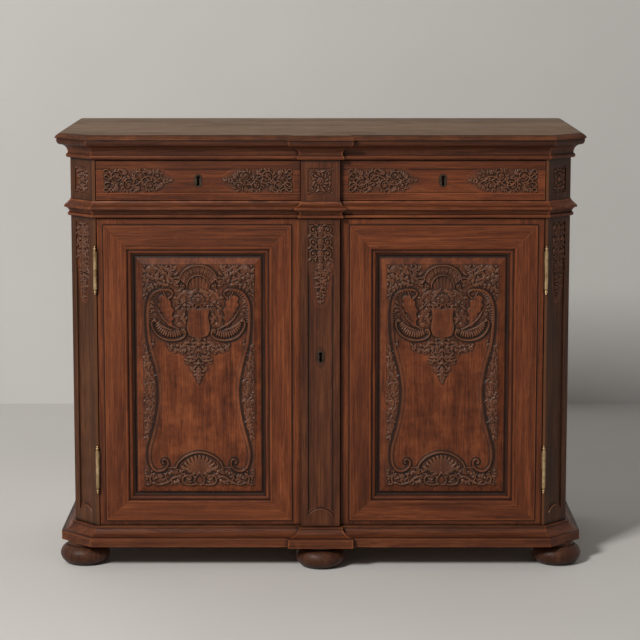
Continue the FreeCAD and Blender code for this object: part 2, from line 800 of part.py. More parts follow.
def make_feet():
    """Five bun feet, and blocks inside the plinth that carry the corner ones."""
    belly = s.foot_diameter / 2
    collar = s.foot_height - s.foot_collar
    neck = s.foot_neck / 2
    points = [
        (ZERO, ZERO),
        (s.foot_pad / 2, ZERO, SOLE_ROUND_SHARE),
        (belly, s.foot_belly, BELLY_ROUND_SHARE),
        (neck, collar),
        (neck + s.step, collar),
        (neck + s.step, s.foot_height),
        (ZERO, s.foot_height),
    ]
    back_y = back - s.back_foot_inset
    foot_x = side - s.foot_side_inset
    front_y = face + s.foot_front_inset
    places = [
        ("left_front_foot", -foot_x, front_y),
        ("centre_front_foot", ZERO, face + s.centre_foot_inset),
        ("right_front_foot", foot_x, front_y),
        ("left_back_foot", -foot_x, back_y),
        ("right_back_foot", foot_x, back_y),
    ]
    for name, x, y in places:
        keep(turned(name, points, x, y, ZERO))
    z = (as_size(s.foot_height), plinth_top - s.board_thickness)
    corner = (inner_side - s.foot_block, inner_side)
    rear_y = (back_inner - s.foot_block, back_inner)
    behind = post_near + s.foot_block / 2
    plan = [
        (corner[0], face + s.wall_thickness),
        (post_x, face + s.wall_thickness),
        (post_x, post_diagonal),
        (inner_side, post_near),
        (inner_side, behind),
        (corner[0], behind),
    ]
    front = prism("foot_block_front", "XY", z, plan)
    blocks = [front, mirrored("foot_block_front_left", front),
              board("foot_block_rear", corner, rear_y, z),
              board("foot_block_rear_left", flip(corner), rear_y, z)]
    keep(group("foot_blocks", blocks))


# Doors

facing_outer = door_edge - s.hinge_lip
facing_inner = facing_outer - s.facing_hinge_width
facing_meeting = block + s.meeting_lip
facing_opening = facing_meeting + s.facing_meeting_width
door_face = face + s.door_setback
door_back = door_face + s.door_thickness
facing_face = door_face - s.facing_thickness
facing_low = door_bottom + s.facing_bottom_margin
facing_high = door_top - s.facing_top_margin
opening_low = facing_low + s.facing_bottom_width
opening_high = facing_high - s.facing_top_width
panel_back = door_back - s.door_panel_back
panel_edge = panel_back - s.door_panel_thickness
shoot_bolt_y = door_back + s.shoot_plate_thickness + s.shoot_guide_depth / 2
leaf_inner = block + s.door_gap
shoot_bolt_x = leaf_inner + s.shoot_bolt_inset
door_key_z = door_bottom + s.door_keyhole_rise


def make_door_frame(name, sign, meeting):
    """Stiles and rails of one leaf, with its mitred facing."""
    y = (as_size(door_face), as_size(door_back))

    def ranged(x):
        return x if sign > 0 else flip(x)

    frame = [
        board(name + "_hinge_stile", ranged((facing_inner, door_edge)), y, (door_bottom, door_top)),
        board(name + "_meeting_stile", ranged((meeting, facing_opening)), y, (door_bottom, door_top)),
        board(name + "_top_rail", ranged((facing_opening, facing_inner)), y,
              (opening_high, door_top)),
        board(name + "_bottom_rail", ranged((facing_opening, facing_inner)), y,
              (door_bottom, opening_low)),
    ]
    keep(group(name + "_frame", frame))
    outer = [(facing_meeting, facing_low), (facing_outer, facing_low),
             (facing_outer, facing_high), (facing_meeting, facing_high)]
    inner = [(facing_opening, opening_low), (facing_inner, opening_low),
             (facing_inner, opening_high), (facing_opening, opening_high)]
    pieces = []
    for number in range(4):
        after = (number + 1) % 4
        corners = [outer[number], outer[after], inner[after], inner[number]]
        if sign < 0:
            corners = [(-x, z) for x, z in reversed(corners)]
        pieces.append(prism("%s_facing_%d" % (name, number + 1), "XZ", (facing_face, door_face), corners))
    keep(group(name + "_facing", pieces))


def make_door_panel(name):
    """Raised panel of the right leaf, and the moulding that frames it."""
    x = (facing_opening, facing_inner)
    z = (opening_low, opening_high)
    flat = board(name + "_sheet", x, (panel_edge, panel_back), z)
    field = doc.addObject("Part::Wedge", name + "_field")
    wide = x[1] - x[0]
    tall = z[1] - z[0]
    start = s.moulding_width
    inner = s.moulding_width + s.panel_bevel
    bounds = {
        "Xmin": inner, "Xmax": wide - inner, "Zmin": inner, "Zmax": tall - inner,
        "Ymin": ZERO, "Ymax": s.panel_rise,
        "X2min": start, "X2max": wide - start, "Z2min": start, "Z2max": tall - start,
    }
    for prop, size in bounds.items():
        setattr(field, prop, as_size(size).value)
    for prop, size in bounds.items():
        bind(field, prop, size)
    place(field, x[0], panel_edge - s.panel_rise, z[0])
    return fuse(name, [flat, field])


def make_door_moulding(name):
    """Mitred moulding inside the frame of the right leaf."""
    body = doc.addObject("PartDesign::Body", name)
    middle = (facing_opening + facing_inner) / 2
    corners = [(middle, opening_low), (facing_inner, opening_low), (facing_inner, opening_high),
               (facing_opening, opening_high), (facing_opening, opening_low)]
    path = sketch_path(body, name + "_path", "XZ", corners, -panel_edge)
    front = facing_face - s.moulding_proud
    shelf = front + s.moulding_first_drop
    quirk = shelf + s.moulding_step
    low = quirk + s.moulding_second_drop
    lip_start = s.moulding_second + s.step / 2
    points = [
        (panel_edge, opening_low),
        (front, opening_low, -QUARTER_SHARE),
        (shelf, opening_low + s.moulding_first),
        (quirk, opening_low + s.moulding_first),
        (quirk, opening_low + s.moulding_first + s.step, -QUARTER_SHARE),
        (low, opening_low + s.moulding_second),
        (low + s.step / 2, opening_low + s.moulding_second),
        (low + s.step / 2, opening_low + lip_start),
        (panel_edge - s.moulding_last_rise, opening_low + lip_start, -SHALLOW_SHARE),
        (panel_edge - s.sliver, opening_low + s.moulding_width),
        (panel_edge, opening_low + s.moulding_width),
    ]
    section = sketch_path(body, name + "_section", "YZ", points, middle)
    pipe = body.newObject("PartDesign::AdditivePipe", name + "_pipe")
    pipe.Profile = section
    pipe.Spine = (path, ["Edge%d" % (number + 1) for number in range(len(corners))])
    pipe.Transition = "Right corner"
    return body


def keyhole(name, x, span, z):
    """A keyhole cutter: a round head over a slot, along Y."""
    radius = s.keyhole_width / 2
    head_z = z + s.keyhole_height / 2 - radius
    head = rod(name + "_head", radius, span[1] - span[0], x, span[0], head_z, "y")
    half = s.keyhole_slot / 2
    slot = board(name + "_slot", (x - half, x + half), span, (z - s.keyhole_height / 2, head_z))
    return fuse(name, [head, slot])


def escutcheon(name, x, surface, z):
    """A thin plate with rounded ends round a keyhole."""
    half = s.keyhole_width / 2 + s.escutcheon_rim
    tall = s.keyhole_height / 2 + s.escutcheon_rim
    points = [
        (x - half, z - tall + half, HALF_ROUND_SHARE),
        (x + half, z - tall + half),
        (x + half, z + tall - half, HALF_ROUND_SHARE),
        (x - half, z + tall - half),
    ]
    plate = prism(name + "_plate", "XZ", (surface - s.escutcheon_thickness, surface), points)
    hole = keyhole(name + "_hole", x, (surface - s.escutcheon_thickness - s.overrun, surface + s.overrun), z)
    return cut(name, plate, hole)


def make_pilaster():
    """Pilaster that closes the left leaf: a sunk field with an arched foot, and the keyhole."""
    stem = board("pilaster_stem", (-block, block), (block_face, door_back), (door_bottom, door_top))
    share = s.arch_rise / s.pilaster_recess
    field = recess_cutter("pilaster_field", s.pilaster_recess, door_bottom + s.arch_spring,
                          door_top - s.recess_margin, share)
    place(field, ZERO, block_face)
    sunk = cut("pilaster_sunk", stem, field)
    hole = keyhole("pilaster_keyhole", ZERO, (block_face - s.overrun, door_back + s.overrun), door_key_z)
    keep(cut("left_door_pilaster", sunk, hole))


def make_door_lock():
    """Rim lock on the back of the pilaster, its bolt, and the keeper on the right leaf."""
    right = block - s.step
    y = (as_size(door_back), door_back + s.door_lock_depth)
    z = (door_key_z - s.door_lock_height / 2, door_key_z + s.door_lock_height / 2)
    case = board("door_lock_case", (right - s.door_lock_width, right), y, z)
    bolt_y = (door_back + s.door_lock_depth / 2 - s.bolt_thickness / 2,
              door_back + s.door_lock_depth / 2 + s.bolt_thickness / 2)
    bolt_z = (door_key_z - s.bolt_height / 2, door_key_z + s.bolt_height / 2)
    gap = s.sliver
    channel = board("door_lock_channel", (right - s.bolt_length - gap, right + s.overrun),
                    (bolt_y[0] - gap, bolt_y[1] + gap), (bolt_z[0] - gap, bolt_z[1] + gap))
    hole = keyhole("door_lock_keyhole", ZERO, (door_back - s.overrun, bolt_y[0] - gap * 2), door_key_z)
    body = cut("door_lock_body", case, fuse("door_lock_cuts", [channel, hole]))
    plate = escutcheon("door_escutcheon", ZERO, block_face + s.recess_depth, door_key_z)
    keep(group("door_lock", [body, plate]))
    keep(board("door_lock_bolt", (right - s.bolt_length, right), bolt_y, bolt_z))
    keeper_x = (leaf_inner + s.step, leaf_inner + s.step + s.keeper_width)
    keeper = board("keeper_case", keeper_x, y, z_middle(door_key_z, s.door_lock_height * 2 / 3))
    socket = board("keeper_socket", (keeper_x[0] - s.overrun, keeper_x[0] + s.bolt_throw + s.overrun),
                   (bolt_y[0] - gap, bolt_y[1] + gap), (bolt_z[0] - gap, bolt_z[1] + gap))
    keep(cut("door_lock_keeper", keeper, socket))


def z_middle(middle, tall):
    """A range about a middle height."""
    return (middle - tall / 2, middle + tall / 2)


def make_hinges():
    """Barrel hinges: the lower half on the post carries the pin, the upper half on the door."""
    axis_x = post_x - s.hinge_leaf + s.hinge_radius
    axis_y = face - s.hinge_stand_off - s.hinge_radius
    r = s.hinge_radius
    finial = s.hinge_finial
    knuckle = s.hinge_knuckle
    neck = r * FINIAL_NECK_SHARE
    waist = r * FINIAL_WAIST_SHARE
    heights = [knuckle + finial * share for share in FINIAL_HEIGHT_SHARES]
    end = knuckle + finial
    bore = s.hinge_pin + s.hinge_pin_gap
    bore_top = s.hinge_pin_length + s.sliver * 2
    gap = s.sliver
    upper = [
        (bore, gap),
        (r, gap),
        (r, knuckle),
        (neck, heights[0]),
        (neck, heights[1], FINIAL_BALL_SHARE),
        (waist, heights[2]),
        (neck, heights[3]),
        (neck / 2, end),
        (ZERO, end),
        (ZERO, bore_top),
        (bore, bore_top),
    ]
    lower = [
        (ZERO, -end),
        (neck / 2, -end),
        (neck, -heights[3]),
        (waist, -heights[2], FINIAL_BALL_SHARE),
        (neck, -heights[1]),
        (neck, -heights[0]),
        (r, -knuckle),
        (r, ZERO),
        (s.hinge_pin, ZERO),
        (s.hinge_pin, s.hinge_pin_length),
        (ZERO, s.hinge_pin_length),
    ]
    inner_x = axis_x - r
    leaf_y = (axis_y, door_face + s.hinge_leaf_depth)
    moving = []
    fixed = []
    upper_z = door_top - s.upper_hinge_drop
    lower_z = door_bottom + s.lower_hinge_rise
    for tag, z in (("upper", upper_z), ("lower", lower_z)):
        top = turned("hinge_%s_knuckle" % tag, upper, axis_x, axis_y, z)
        top_leaf = board("hinge_%s_door_leaf" % tag, (door_edge, inner_x + s.sliver), leaf_y,
                         (z + gap * 2, z + knuckle))
        moving.append(fuse("hinge_%s_door_half" % tag, [top, top_leaf]))
        base = turned("hinge_%s_pin" % tag, lower, axis_x, axis_y, z)
        base_leaf = board("hinge_%s_post_leaf" % tag, (inner_x, post_x), leaf_y, (z - knuckle, z - gap))
        fixed.append(fuse("hinge_%s_post_half" % tag, [base, base_leaf]))
    right_door = keep(group("right_door_hinges", moving))
    keep(mirrored("left_door_hinges", right_door))
    right_post = group("right_post_hinges", fixed)
    keep(group("post_hinges", [right_post, mirrored("left_post_hinges", right_post)]))


def make_shoot_bolts():
    """Surface bolts inside the right leaf, one up and one down, on guide plates."""
    x = shoot_bolt_x
    y = shoot_bolt_y
    reach = s.shoot_bolt_length
    start = s.step / 2
    guides = []
    for tag, end, sign in (("top", door_top, -1), ("bottom", door_bottom, 1)):
        first = end + start * sign
        last = end + (start + reach) * sign
        low, high = (last, first) if sign < 0 else (first, last)
        bar = rod("%s_bolt_bar" % tag, s.shoot_bolt_radius, reach, x, y, low)
        middle = (low + high) / 2
        knob = rod("%s_bolt_knob" % tag, s.shoot_knob_radius, s.shoot_knob_length, x, y, middle, "y")
        keep(fuse("%s_bolt" % tag, [bar, knob]))
        guides.append(bolt_guide(tag, x, y, low, high))
    keep(group("bolt_guides", guides))


def bolt_guide(tag, x, y, low, high):
    """A plate with two guides that a bolt runs through."""
    half = s.shoot_plate_width / 2
    margin = s.shoot_bolt_throw
    plate = board(tag + "_guide_plate", (x - half, x + half),
                  (door_back, door_back + s.shoot_plate_thickness), (low + margin, high - margin))
    blocks = [plate]
    tall = s.shoot_guide_height
    deep = (door_back + s.shoot_plate_thickness, door_back + s.shoot_plate_thickness + s.shoot_guide_depth)
    for number, z in enumerate((low + margin, high - margin - tall)):
        blocks.append(board("%s_guide_%d" % (tag, number + 1), (x - half / 2, x + half / 2), deep,
                            (z, z + tall)))
    solid = fuse(tag + "_guide_solid", blocks)
    bore = rod(tag + "_guide_bore", s.shoot_bolt_radius + s.sliver / 2, high - low, x, y, low)
    return cut(tag + "_guide", solid, bore)


def make_doors():
    """Both leaves with what they carry."""
    make_door_frame("right_door", 1, leaf_inner)
    make_door_frame("left_door", -1, block)
    panel = keep(make_door_panel("right_door_panel"))
    keep(mirrored("left_door_panel", panel))
    moulding = keep(make_door_moulding("right_door_moulding"))
    keep(mirrored("left_door_moulding", moulding))
    make_pilaster()
    make_door_lock()
    make_hinges()
    make_shoot_bolts()


# Drawers

drawer_front_x = (block + s.clearance, post_x - s.clearance)
drawer_middle = (drawer_front_x[0] + drawer_front_x[1]) / 2
drawer_inner = drawer_front_x[0] + s.clearance
drawer_outer = drawer_front_x[1] - s.clearance
drawer_front_z = (waist_top + s.clearance, frieze_top - s.clearance)
drawer_front_back = face + s.drawer_front_thickness
drawer_lock_y = (drawer_front_back - s.drawer_lock_mortise,
                 drawer_front_back - s.drawer_lock_mortise + s.drawer_lock_depth)
drawer_bolt_front = (drawer_lock_y[0] + drawer_lock_y[1]) / 2 - s.bolt_thickness / 2


def make_drawer(name, sign):
    """One drawer: front with its sunk band, box, bottom, lock and bolt."""

    def ranged(x):
        return x if sign > 0 else flip(x)

    middle = drawer_middle if sign > 0 else -drawer_middle
    key_z = (drawer_front_z[0] + drawer_front_z[1]) / 2
    plank = board(name + "_front_plank", ranged(drawer_front_x), (face, drawer_front_back), drawer_front_z)
    margin = s.drawer_field_margin
    band = board(name + "_band", ranged((drawer_front_x[0] + margin, drawer_front_x[1] - margin)),
                 (face - s.overrun, face + s.drawer_field_depth),
                 (drawer_front_z[0] + s.drawer_field_rail, drawer_front_z[1] - s.drawer_field_rail))
    half = s.drawer_lock_width / 2
    lock_top = drawer_front_z[1]
    lock_z = (lock_top - s.drawer_lock_height, lock_top)
    lock_x = (middle - half, middle + half)
    mortise = board(name + "_mortise", lock_x, (drawer_lock_y[0], drawer_front_back + s.overrun),
                    (lock_z[0], lock_z[1] + s.overrun))
    hole = keyhole(name + "_front_keyhole", middle, (face - s.overrun, drawer_lock_y[0] + s.overrun), key_z)
    keep(cut(name + "_front", plank, fuse(name + "_front_cuts", [band, mortise, hole])))

    side_z = (waist_top + s.sliver, frieze_top - s.drawer_head_room)
    box_y = (as_size(drawer_front_back), back_inner - s.drawer_back_room)
    near = (drawer_inner, drawer_inner + s.drawer_side)
    far = (drawer_outer - s.drawer_side, drawer_outer)
    inside = (near[1], far[0])
    bottom_z = (side_z[0] + s.drawer_bottom_rise, side_z[0] + s.drawer_bottom_rise + s.drawer_bottom)
    walls = [
        board(name + "_near_side", ranged(near), box_y, side_z),
        board(name + "_far_side", ranged(far), box_y, side_z),
        board(name + "_back", ranged(inside), (box_y[1] - s.drawer_side, box_y[1]),
              (bottom_z[0], side_z[1])),
    ]
    keep(group(name + "_box", walls))
    keep(board(name + "_bottom", ranged(inside), (box_y[0], box_y[1] - s.drawer_side), bottom_z))

    gap = s.sliver
    bolt_x = (middle - s.drawer_bolt_width / 2, middle + s.drawer_bolt_width / 2)
    bolt_y = (drawer_bolt_front, drawer_bolt_front + s.bolt_thickness)
    bolt_z = (lock_top - s.bolt_length, lock_top - gap)
    case = board(name + "_lock_case", lock_x, drawer_lock_y, lock_z)
    channel = board(name + "_lock_channel", (bolt_x[0] - gap, bolt_x[1] + gap),
                    (bolt_y[0] - gap, bolt_y[1] + gap), (bolt_z[0] - gap, lock_top + s.overrun))
    lock_hole = keyhole(name + "_lock_keyhole", middle,
                        (drawer_lock_y[0] - s.overrun, bolt_y[1] + gap), key_z)
    lock_body = cut(name + "_lock_body", case, fuse(name + "_lock_cuts", [channel, lock_hole]))
    plate = escutcheon(name + "_escutcheon", middle, face + s.drawer_field_depth, key_z)
    keep(group(name + "_lock", [lock_body, plate]))
    keep(board(name + "_lock_bolt", bolt_x, bolt_y, bolt_z))


make_mouldings()
make_top()
make_posts()
make_front_rails()
make_sides()
make_back()
make_inside()
make_feet()
make_doors()
make_drawer("left_drawer", -1)
make_drawer("right_drawer", 1)
doc.recompute()


def check_document():
    """Stop on any failed object or empty shape."""
    for item in doc.Objects:
        if "Invalid" in item.State or "Error" in item.State:
            raise RuntimeError("%s failed: %s" % (item.Name, item.State))
    for item in SUBPARTS:
        if item.Shape.isNull() or not item.Shape.isValid() or not item.Shape.Solids:
            raise RuntimeError("%s has no valid solid" % item.Label)


def export_parts():
    """Write each piece to its own file."""
    os.makedirs("parts", exist_ok=True)
    for item in SUBPARTS:
        item.Shape.exportStep("parts/%s.step" % item.Label)


check_document()
export_parts()
whole = Part.makeCompound([item.Shape for item in SUBPARTS]).optimalBoundingBox(False)
print("pieces", len(SUBPARTS), "solids", sum(len(item.Shape.Solids) for item in SUBPARTS))
print("overall %.1f x %.1f x %.1f" % (whole.XLength, whole.YLength, whole.ZLength))
print("x %.2f..%.2f y %.2f..%.2f z %.2f..%.2f" % (
    whole.XMin, whole.XMax, whole.YMin, whole.YMax, whole.ZMin, whole.ZMax))
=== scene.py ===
import math

import bpy
import numpy as np
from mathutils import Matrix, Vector


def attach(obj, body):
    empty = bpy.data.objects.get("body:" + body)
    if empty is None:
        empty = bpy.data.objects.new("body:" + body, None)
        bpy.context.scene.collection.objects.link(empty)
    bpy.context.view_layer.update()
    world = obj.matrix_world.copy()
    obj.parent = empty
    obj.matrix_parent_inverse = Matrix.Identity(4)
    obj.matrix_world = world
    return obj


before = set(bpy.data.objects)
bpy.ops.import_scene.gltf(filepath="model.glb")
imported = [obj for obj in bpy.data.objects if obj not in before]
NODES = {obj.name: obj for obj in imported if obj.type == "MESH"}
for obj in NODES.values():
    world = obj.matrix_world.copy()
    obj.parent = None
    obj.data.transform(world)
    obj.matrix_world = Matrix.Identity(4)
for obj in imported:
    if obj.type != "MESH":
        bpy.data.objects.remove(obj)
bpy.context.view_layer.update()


# Node trees

class Nodes:
    """A node tree, with short calls that add nodes."""

    def put(self, socket, value):
        """Link an input, or set it; one number or three also fill a longer input."""
        value = getattr(value, "socket", value)
        if isinstance(value, bpy.types.NodeSocket):
            self.tree.links.new(value, socket)
            return
        if not isinstance(value, str) and hasattr(socket.default_value, "__len__"):
            size = len(socket.default_value)
            value = [*value, 1][:size] if hasattr(value, "__len__") else [value] * size
        socket.default_value = value

    def add(self, kind, inputs=(), **props):
        """A node with its properties, and values for its inputs by name or number."""
        node = self.tree.nodes.new(kind)
        for key, value in props.items():
            setattr(node, key, value)
        for key, value in dict(inputs).items():
            self.put(node.inputs[key], value)
        return node


class Value:
    """An output of a shader node; arithmetic with it adds nodes."""

    def __init__(self, sh, socket):
        self.sh = sh
        self.socket = socket

    def __add__(self, other):
        return self.sh.math("ADD", self, other)

    def __sub__(self, other):
        return self.sh.math("SUBTRACT", self, other)

    def __rsub__(self, other):
        return self.sh.math("SUBTRACT", other, self)

    def __mul__(self, other):
        return self.sh.math("MULTIPLY", self, other)

    def __truediv__(self, other):
        return self.sh.math("DIVIDE", self, other)

    def __gt__(self, other):
        return self.sh.math("GREATER_THAN", self, other)

    def __lt__(self, other):
        return self.sh.math("LESS_THAN", self, other)

    def __abs__(self):
        return self.sh.math("ABSOLUTE", self)


class Shader(Nodes):
    """The nodes of a material, or of the world."""

    def __init__(self, owner, surface="BsdfPrincipled", out="OutputMaterial"):
        owner.use_nodes = True
        self.owner = owner
        self.tree = owner.node_tree
        self.tree.nodes.clear()
        self.surface = self.add("ShaderNode" + surface)
        self.out = self.add("ShaderNode" + out).inputs["Surface"]
        self.put(self.out, self.surface.outputs[0])

    def value(self, kind, inputs=(), out=0, **props):
        """One output of a new node."""
        return Value(self, self.add("ShaderNode" + kind, inputs, **props).outputs[out])

    def finish(self, values):
        """Give the surface its inputs."""
        for key, value in values.items():
            self.put(self.surface.inputs[key], value)

    def math(self, operation, a, b=0.0):
        return self.value("Math", {0: a, 1: b}, operation=operation)

    def vector(self, operation, a, b):
        return self.value("VectorMath", {0: a, 1: b}, operation=operation)

    def noise(self, vector, scale, detail=3.0, rough=0.5, warp=0.0):
        """Noise from 0 to 1; scale is one number, or one for each direction."""
        if np.size(scale) > 1:
            vector = self.vector("MULTIPLY", vector, scale)
            scale = 1.0
        return self.value("TexNoise", {"Vector": vector, "Scale": scale, "Detail": detail, "Roughness": rough,
                                       "Distortion": warp}, "Fac")

    def span(self, value, low, high, start=0.0, end=1.0):
        """A value's run between two levels, as a run from start to end."""
        return self.value("MapRange", enumerate((value, low, high, start, end)))

    def level(self, value, low, high, soft=0.0006):
        """1 between two levels, with soft ends."""
        return self.span(value, low - soft, low + soft) * self.span(value, high + soft, high - soft)

    def mix(self, share, a, b):
        return self.value("Mix", {0: share, 6: a, 7: b}, 2, data_type="RGBA")

    def join(self, *parts):
        return self.value("CombineXYZ", enumerate(parts))

    def place(self):
        """The point in the object's own frame, and its parts."""
        point = self.value("TexCoord", out="Object")
        parts = self.add("ShaderNodeSeparateXYZ", {0: point}).outputs
        return point, [Value(self, part) for part in parts]

    def crevice(self, reach, inside=False):
        """Openness of the surface: 1 in the open, lower in a crevice or, inside, near an edge."""
        return self.value("AmbientOcclusion", {"Distance": reach}, "AO", inside=inside, samples=4)

    def bump(self, height, distance, strength):
        inputs = {"Height": height, "Distance": distance, "Strength": strength}
        self.finish({"Normal": self.value("Bump", inputs)})

    def blend(self, share, other):
        """Mix another shader over the surface."""
        below = self.out.links[0].from_socket
        self.put(self.out, self.value("MixShader", enumerate((share, below, other))))

    def seen(self):
        """1 for the rays that show a background: from the camera, a gloss or a clear surface."""
        path = self.add("ShaderNodeLightPath").outputs
        share = self.math("MAXIMUM", path["Is Camera Ray"], path["Is Glossy Ray"])
        return self.math("MAXIMUM", share, path["Is Transmission Ray"])


# Masks: 1 on a part of a piece. Sizes are in metres, a box is (x0, x1, z0, z1) on the right-hand half.

FACING_BOX = (0.073, 0.539, 0.119, 0.868)
MOULDING_BOX = (0.121, 0.488, 0.164, 0.814)
PANEL_BOX = (0.145, 0.464, 0.188, 0.790)
FACING_WIDTHS = (0.048, 0.051, 0.045, 0.054)
MOULDING_WIDTHS = (0.024, 0.024, 0.024, 0.024)
END_RUN_Y = -0.19
DRAWER_BACK = 0.0125
PLATE_Z = 0.539
PLATE_HALF_WIDTH = 0.0125
PLATE_HALF_HEIGHT = 0.0255
ARCH_FOOT = 0.131
PILASTER_FACE = -0.264


def mitred(box, widths):
    """Mask for the top and bottom lengths of a mitred frame, from its left, right, bottom and top widths."""
    x0, x1, z0, z1 = box
    left, right, bottom, top = widths

    def mask(sh, parts):
        x, z = abs(parts[0]), parts[2]
        ends = sh.math("MINIMUM", (x - x0) / left, (x1 - x) / right)
        return sh.math("MINIMUM", (z - z0) / bottom, (z1 - z) / top) < ends
    return mask


def door_rails(sh, parts):
    """Mask for the rails of a door frame, between its stiles."""
    x = abs(parts[0])
    return (x > MOULDING_BOX[0]) * (x < MOULDING_BOX[1])


def end_runs(sh, parts):
    """Mask for the lengths of a case moulding that run along the ends."""
    return parts[1] > END_RUN_Y


def drawer_backs(sh, parts):
    """Mask for the back board of a drawer."""
    back = max(vertex.co.y for vertex in NODES["left_drawer_box"].data.vertices)
    return parts[1] > back - DRAWER_BACK


def border(sh, parts, box, low, high, soft=0.0006):
    """1 between two distances inward from the edge of a box."""
    x, z = abs(parts[0]), parts[2]
    inward = sh.math("MINIMUM", x - box[0], box[1] - x)
    inward = sh.math("MINIMUM", inward, sh.math("MINIMUM", z - box[2], box[3] - z))
    return sh.level(inward, low, high, soft)


FACING = mitred(FACING_BOX, FACING_WIDTHS)
INNER = mitred(MOULDING_BOX, MOULDING_WIDTHS)


# Marks: pairs of a mask and an amount, above 0 for soot and painted shade, below 0 for wear and painted
# highlight

def height_marks(*rows):
    """Marks between heights: rows of low, high, softness and amount."""
    def marks(sh, parts):
        return [(sh.level(parts[2], low, high, soft), amount) for low, high, soft, amount in rows]
    return marks


def border_marks(box, *rows):
    """Marks along the edge of a box: rows of two distances inward, softness and amount."""
    def marks(sh, parts):
        return [(border(sh, parts, box, low, high, soft), amount) for low, high, soft, amount in rows]
    return marks


# Soot and painted shadow under the top, painted shade in the quirk and the hollow below it, and on the plinth
# painted shade lines on its upper slope and fillet with a painted highlight line below
MOULDING_MARKS = height_marks((1.0655, 1.0815, 0.0015, 0.50), (1.0640, 1.0662, 0.0006, 0.88),
                              (1.039, 1.0640, 0.002, 0.16), (0.0985, 0.1035, 0.0015, 0.5),
                              (0.0800, 0.0828, 0.0006, 0.75), (0.0770, 0.0796, 0.0006, -0.5))
# Painted shade line under the upper rail of a drawer front and painted shadow on that rail, and at its lower
# rail a painted shade line with a painted highlight line below it
DRAWER_MARKS = height_marks((1.0066, 1.0096, 0.0004, 0.9), (1.0100, 1.05, 0.0004, 0.27),
                            (0.9497, 0.9512, 0.0004, 0.6), (0.9474, 0.9494, 0.0004, -0.75))
# Dirt and painted shade in the gap round a panel, and a painted shade line along the edge of its raised field
PANEL_MARKS = border_marks(PANEL_BOX, (-0.01, 0.0042, 0.0006, 0.93), (0.0192, 0.0206, 0.0004, 0.45))
# Dirt and painted shade on the lip of the panel moulding and in its quirk
INNER_MARKS = border_marks(MOULDING_BOX, (0.0180, 0.03, 0.0006, 0.93), (0.0066, 0.0084, 0.0004, 0.8))
# Dirt and painted shade in the corner where the facing stands on the door frame
FRAME_MARKS = border_marks(FACING_BOX, (-0.0030, 0.0, 0.0006, 0.92))


def post_marks(sh, parts):
    """A lighter front of a post, beside its cant."""
    front = sh.span(parts[1], -0.2518, -0.2528)
    return [(front * sh.level(parts[2], 0.11, 0.885, 0.01), -0.62), (front * (parts[2] > 0.925), -0.85)]


def facing_marks(sh, parts):
    """The worn outer edge of the facing, and painted light on the lower rail of the left door."""
    return [(FACING(sh, parts) * (parts[2] < 0.3) * (parts[0] < 0.0), -0.24),
            (border(sh, parts, FACING_BOX, 0.0, 0.0018), -0.7)]


def pilaster_marks(sh, parts):
    """Painted shade along the sides of the sunk field, and the ghost of a plate round the keyhole."""
    x, y, z = parts
    side = sh.level(abs(x), 0.0285, 0.0322, 0.0008) * (z > ARCH_FOOT)
    across, along = x / PLATE_HALF_WIDTH, (z - PLATE_Z) / PLATE_HALF_HEIGHT
    oval = across * across + along * along
    masks = ((side, 0.8), (sh.level(oval, 0.82, 1.12, 0.1), 0.42), (oval < 1.0, 0.16))
    return [(mask * (y < PILASTER_FACE + 0.0005), amount) for mask, amount in masks]


# Oak and metal

OAK = ((0.046, 0.0100, 0.0030), (0.128, 0.0315, 0.0100), (0.235, 0.066, 0.021))
DULL = ((0.034, 0.0095, 0.0040), (0.084, 0.0250, 0.0098), (0.150, 0.050, 0.020))
MOULD = ((0.039, 0.0094, 0.0033), (0.112, 0.0298, 0.0104), (0.225, 0.068, 0.0235))
DARK = ((0.022, 0.0065, 0.0030), (0.064, 0.0215, 0.0100), (0.125, 0.047, 0.022))
POST = ((0.027, 0.0088, 0.0035), (0.064, 0.0218, 0.0080), (0.122, 0.045, 0.0175))
# Top board: faded grey-brown with dust, lightened also for a painted sheen
TOP = ((0.074, 0.040, 0.0205), (0.162, 0.094, 0.0515), (0.275, 0.172, 0.101))
RAW = ((0.118, 0.054, 0.025), (0.220, 0.108, 0.052), (0.33, 0.175, 0.092))
# Darks for soot and painted shade, and for dust and soft painted shade
SOOT_AND_SHADE = (0.010, 0.0035, 0.0018)
DUST_AND_SHADE = (0.030, 0.013, 0.007)
STAIN = (0.080, 0.036, 0.019)
# Dirt and painted shade in carved hollows, and dust with a painted highlight on carved heights
HOLLOW_DIRT_AND_SHADE = (0.012, 0.0042, 0.0018)
RAISED_DUST_AND_HIGHLIGHT = (0.190, 0.102, 0.060)
THUMB = ((0.040, 0.0115, 0.0042), (0.175, 0.057, 0.021))
THUMB_PATCH = (0.024, 0.0085, 0.0038)
THUMB_SHADE_LINE = (0.014, 0.005, 0.0025)
PANEL_FIGURE = (0.40, 0.42)


def grain_vector(sh, grain, parts):
    """The point turned so that its third part runs along the grain."""
    x, y, z = parts
    turned = {"z": (x, y, z), "x": (z, y, x), "y": (x, z, y)}
    if isinstance(grain, str):
        return sh.join(*turned[grain])
    along, across, mask = grain
    inputs = {0: mask(sh, parts), 4: sh.join(*turned[along]), 5: sh.join(*turned[across])}
    return sh.value("Mix", inputs, 1, data_type="VECTOR")


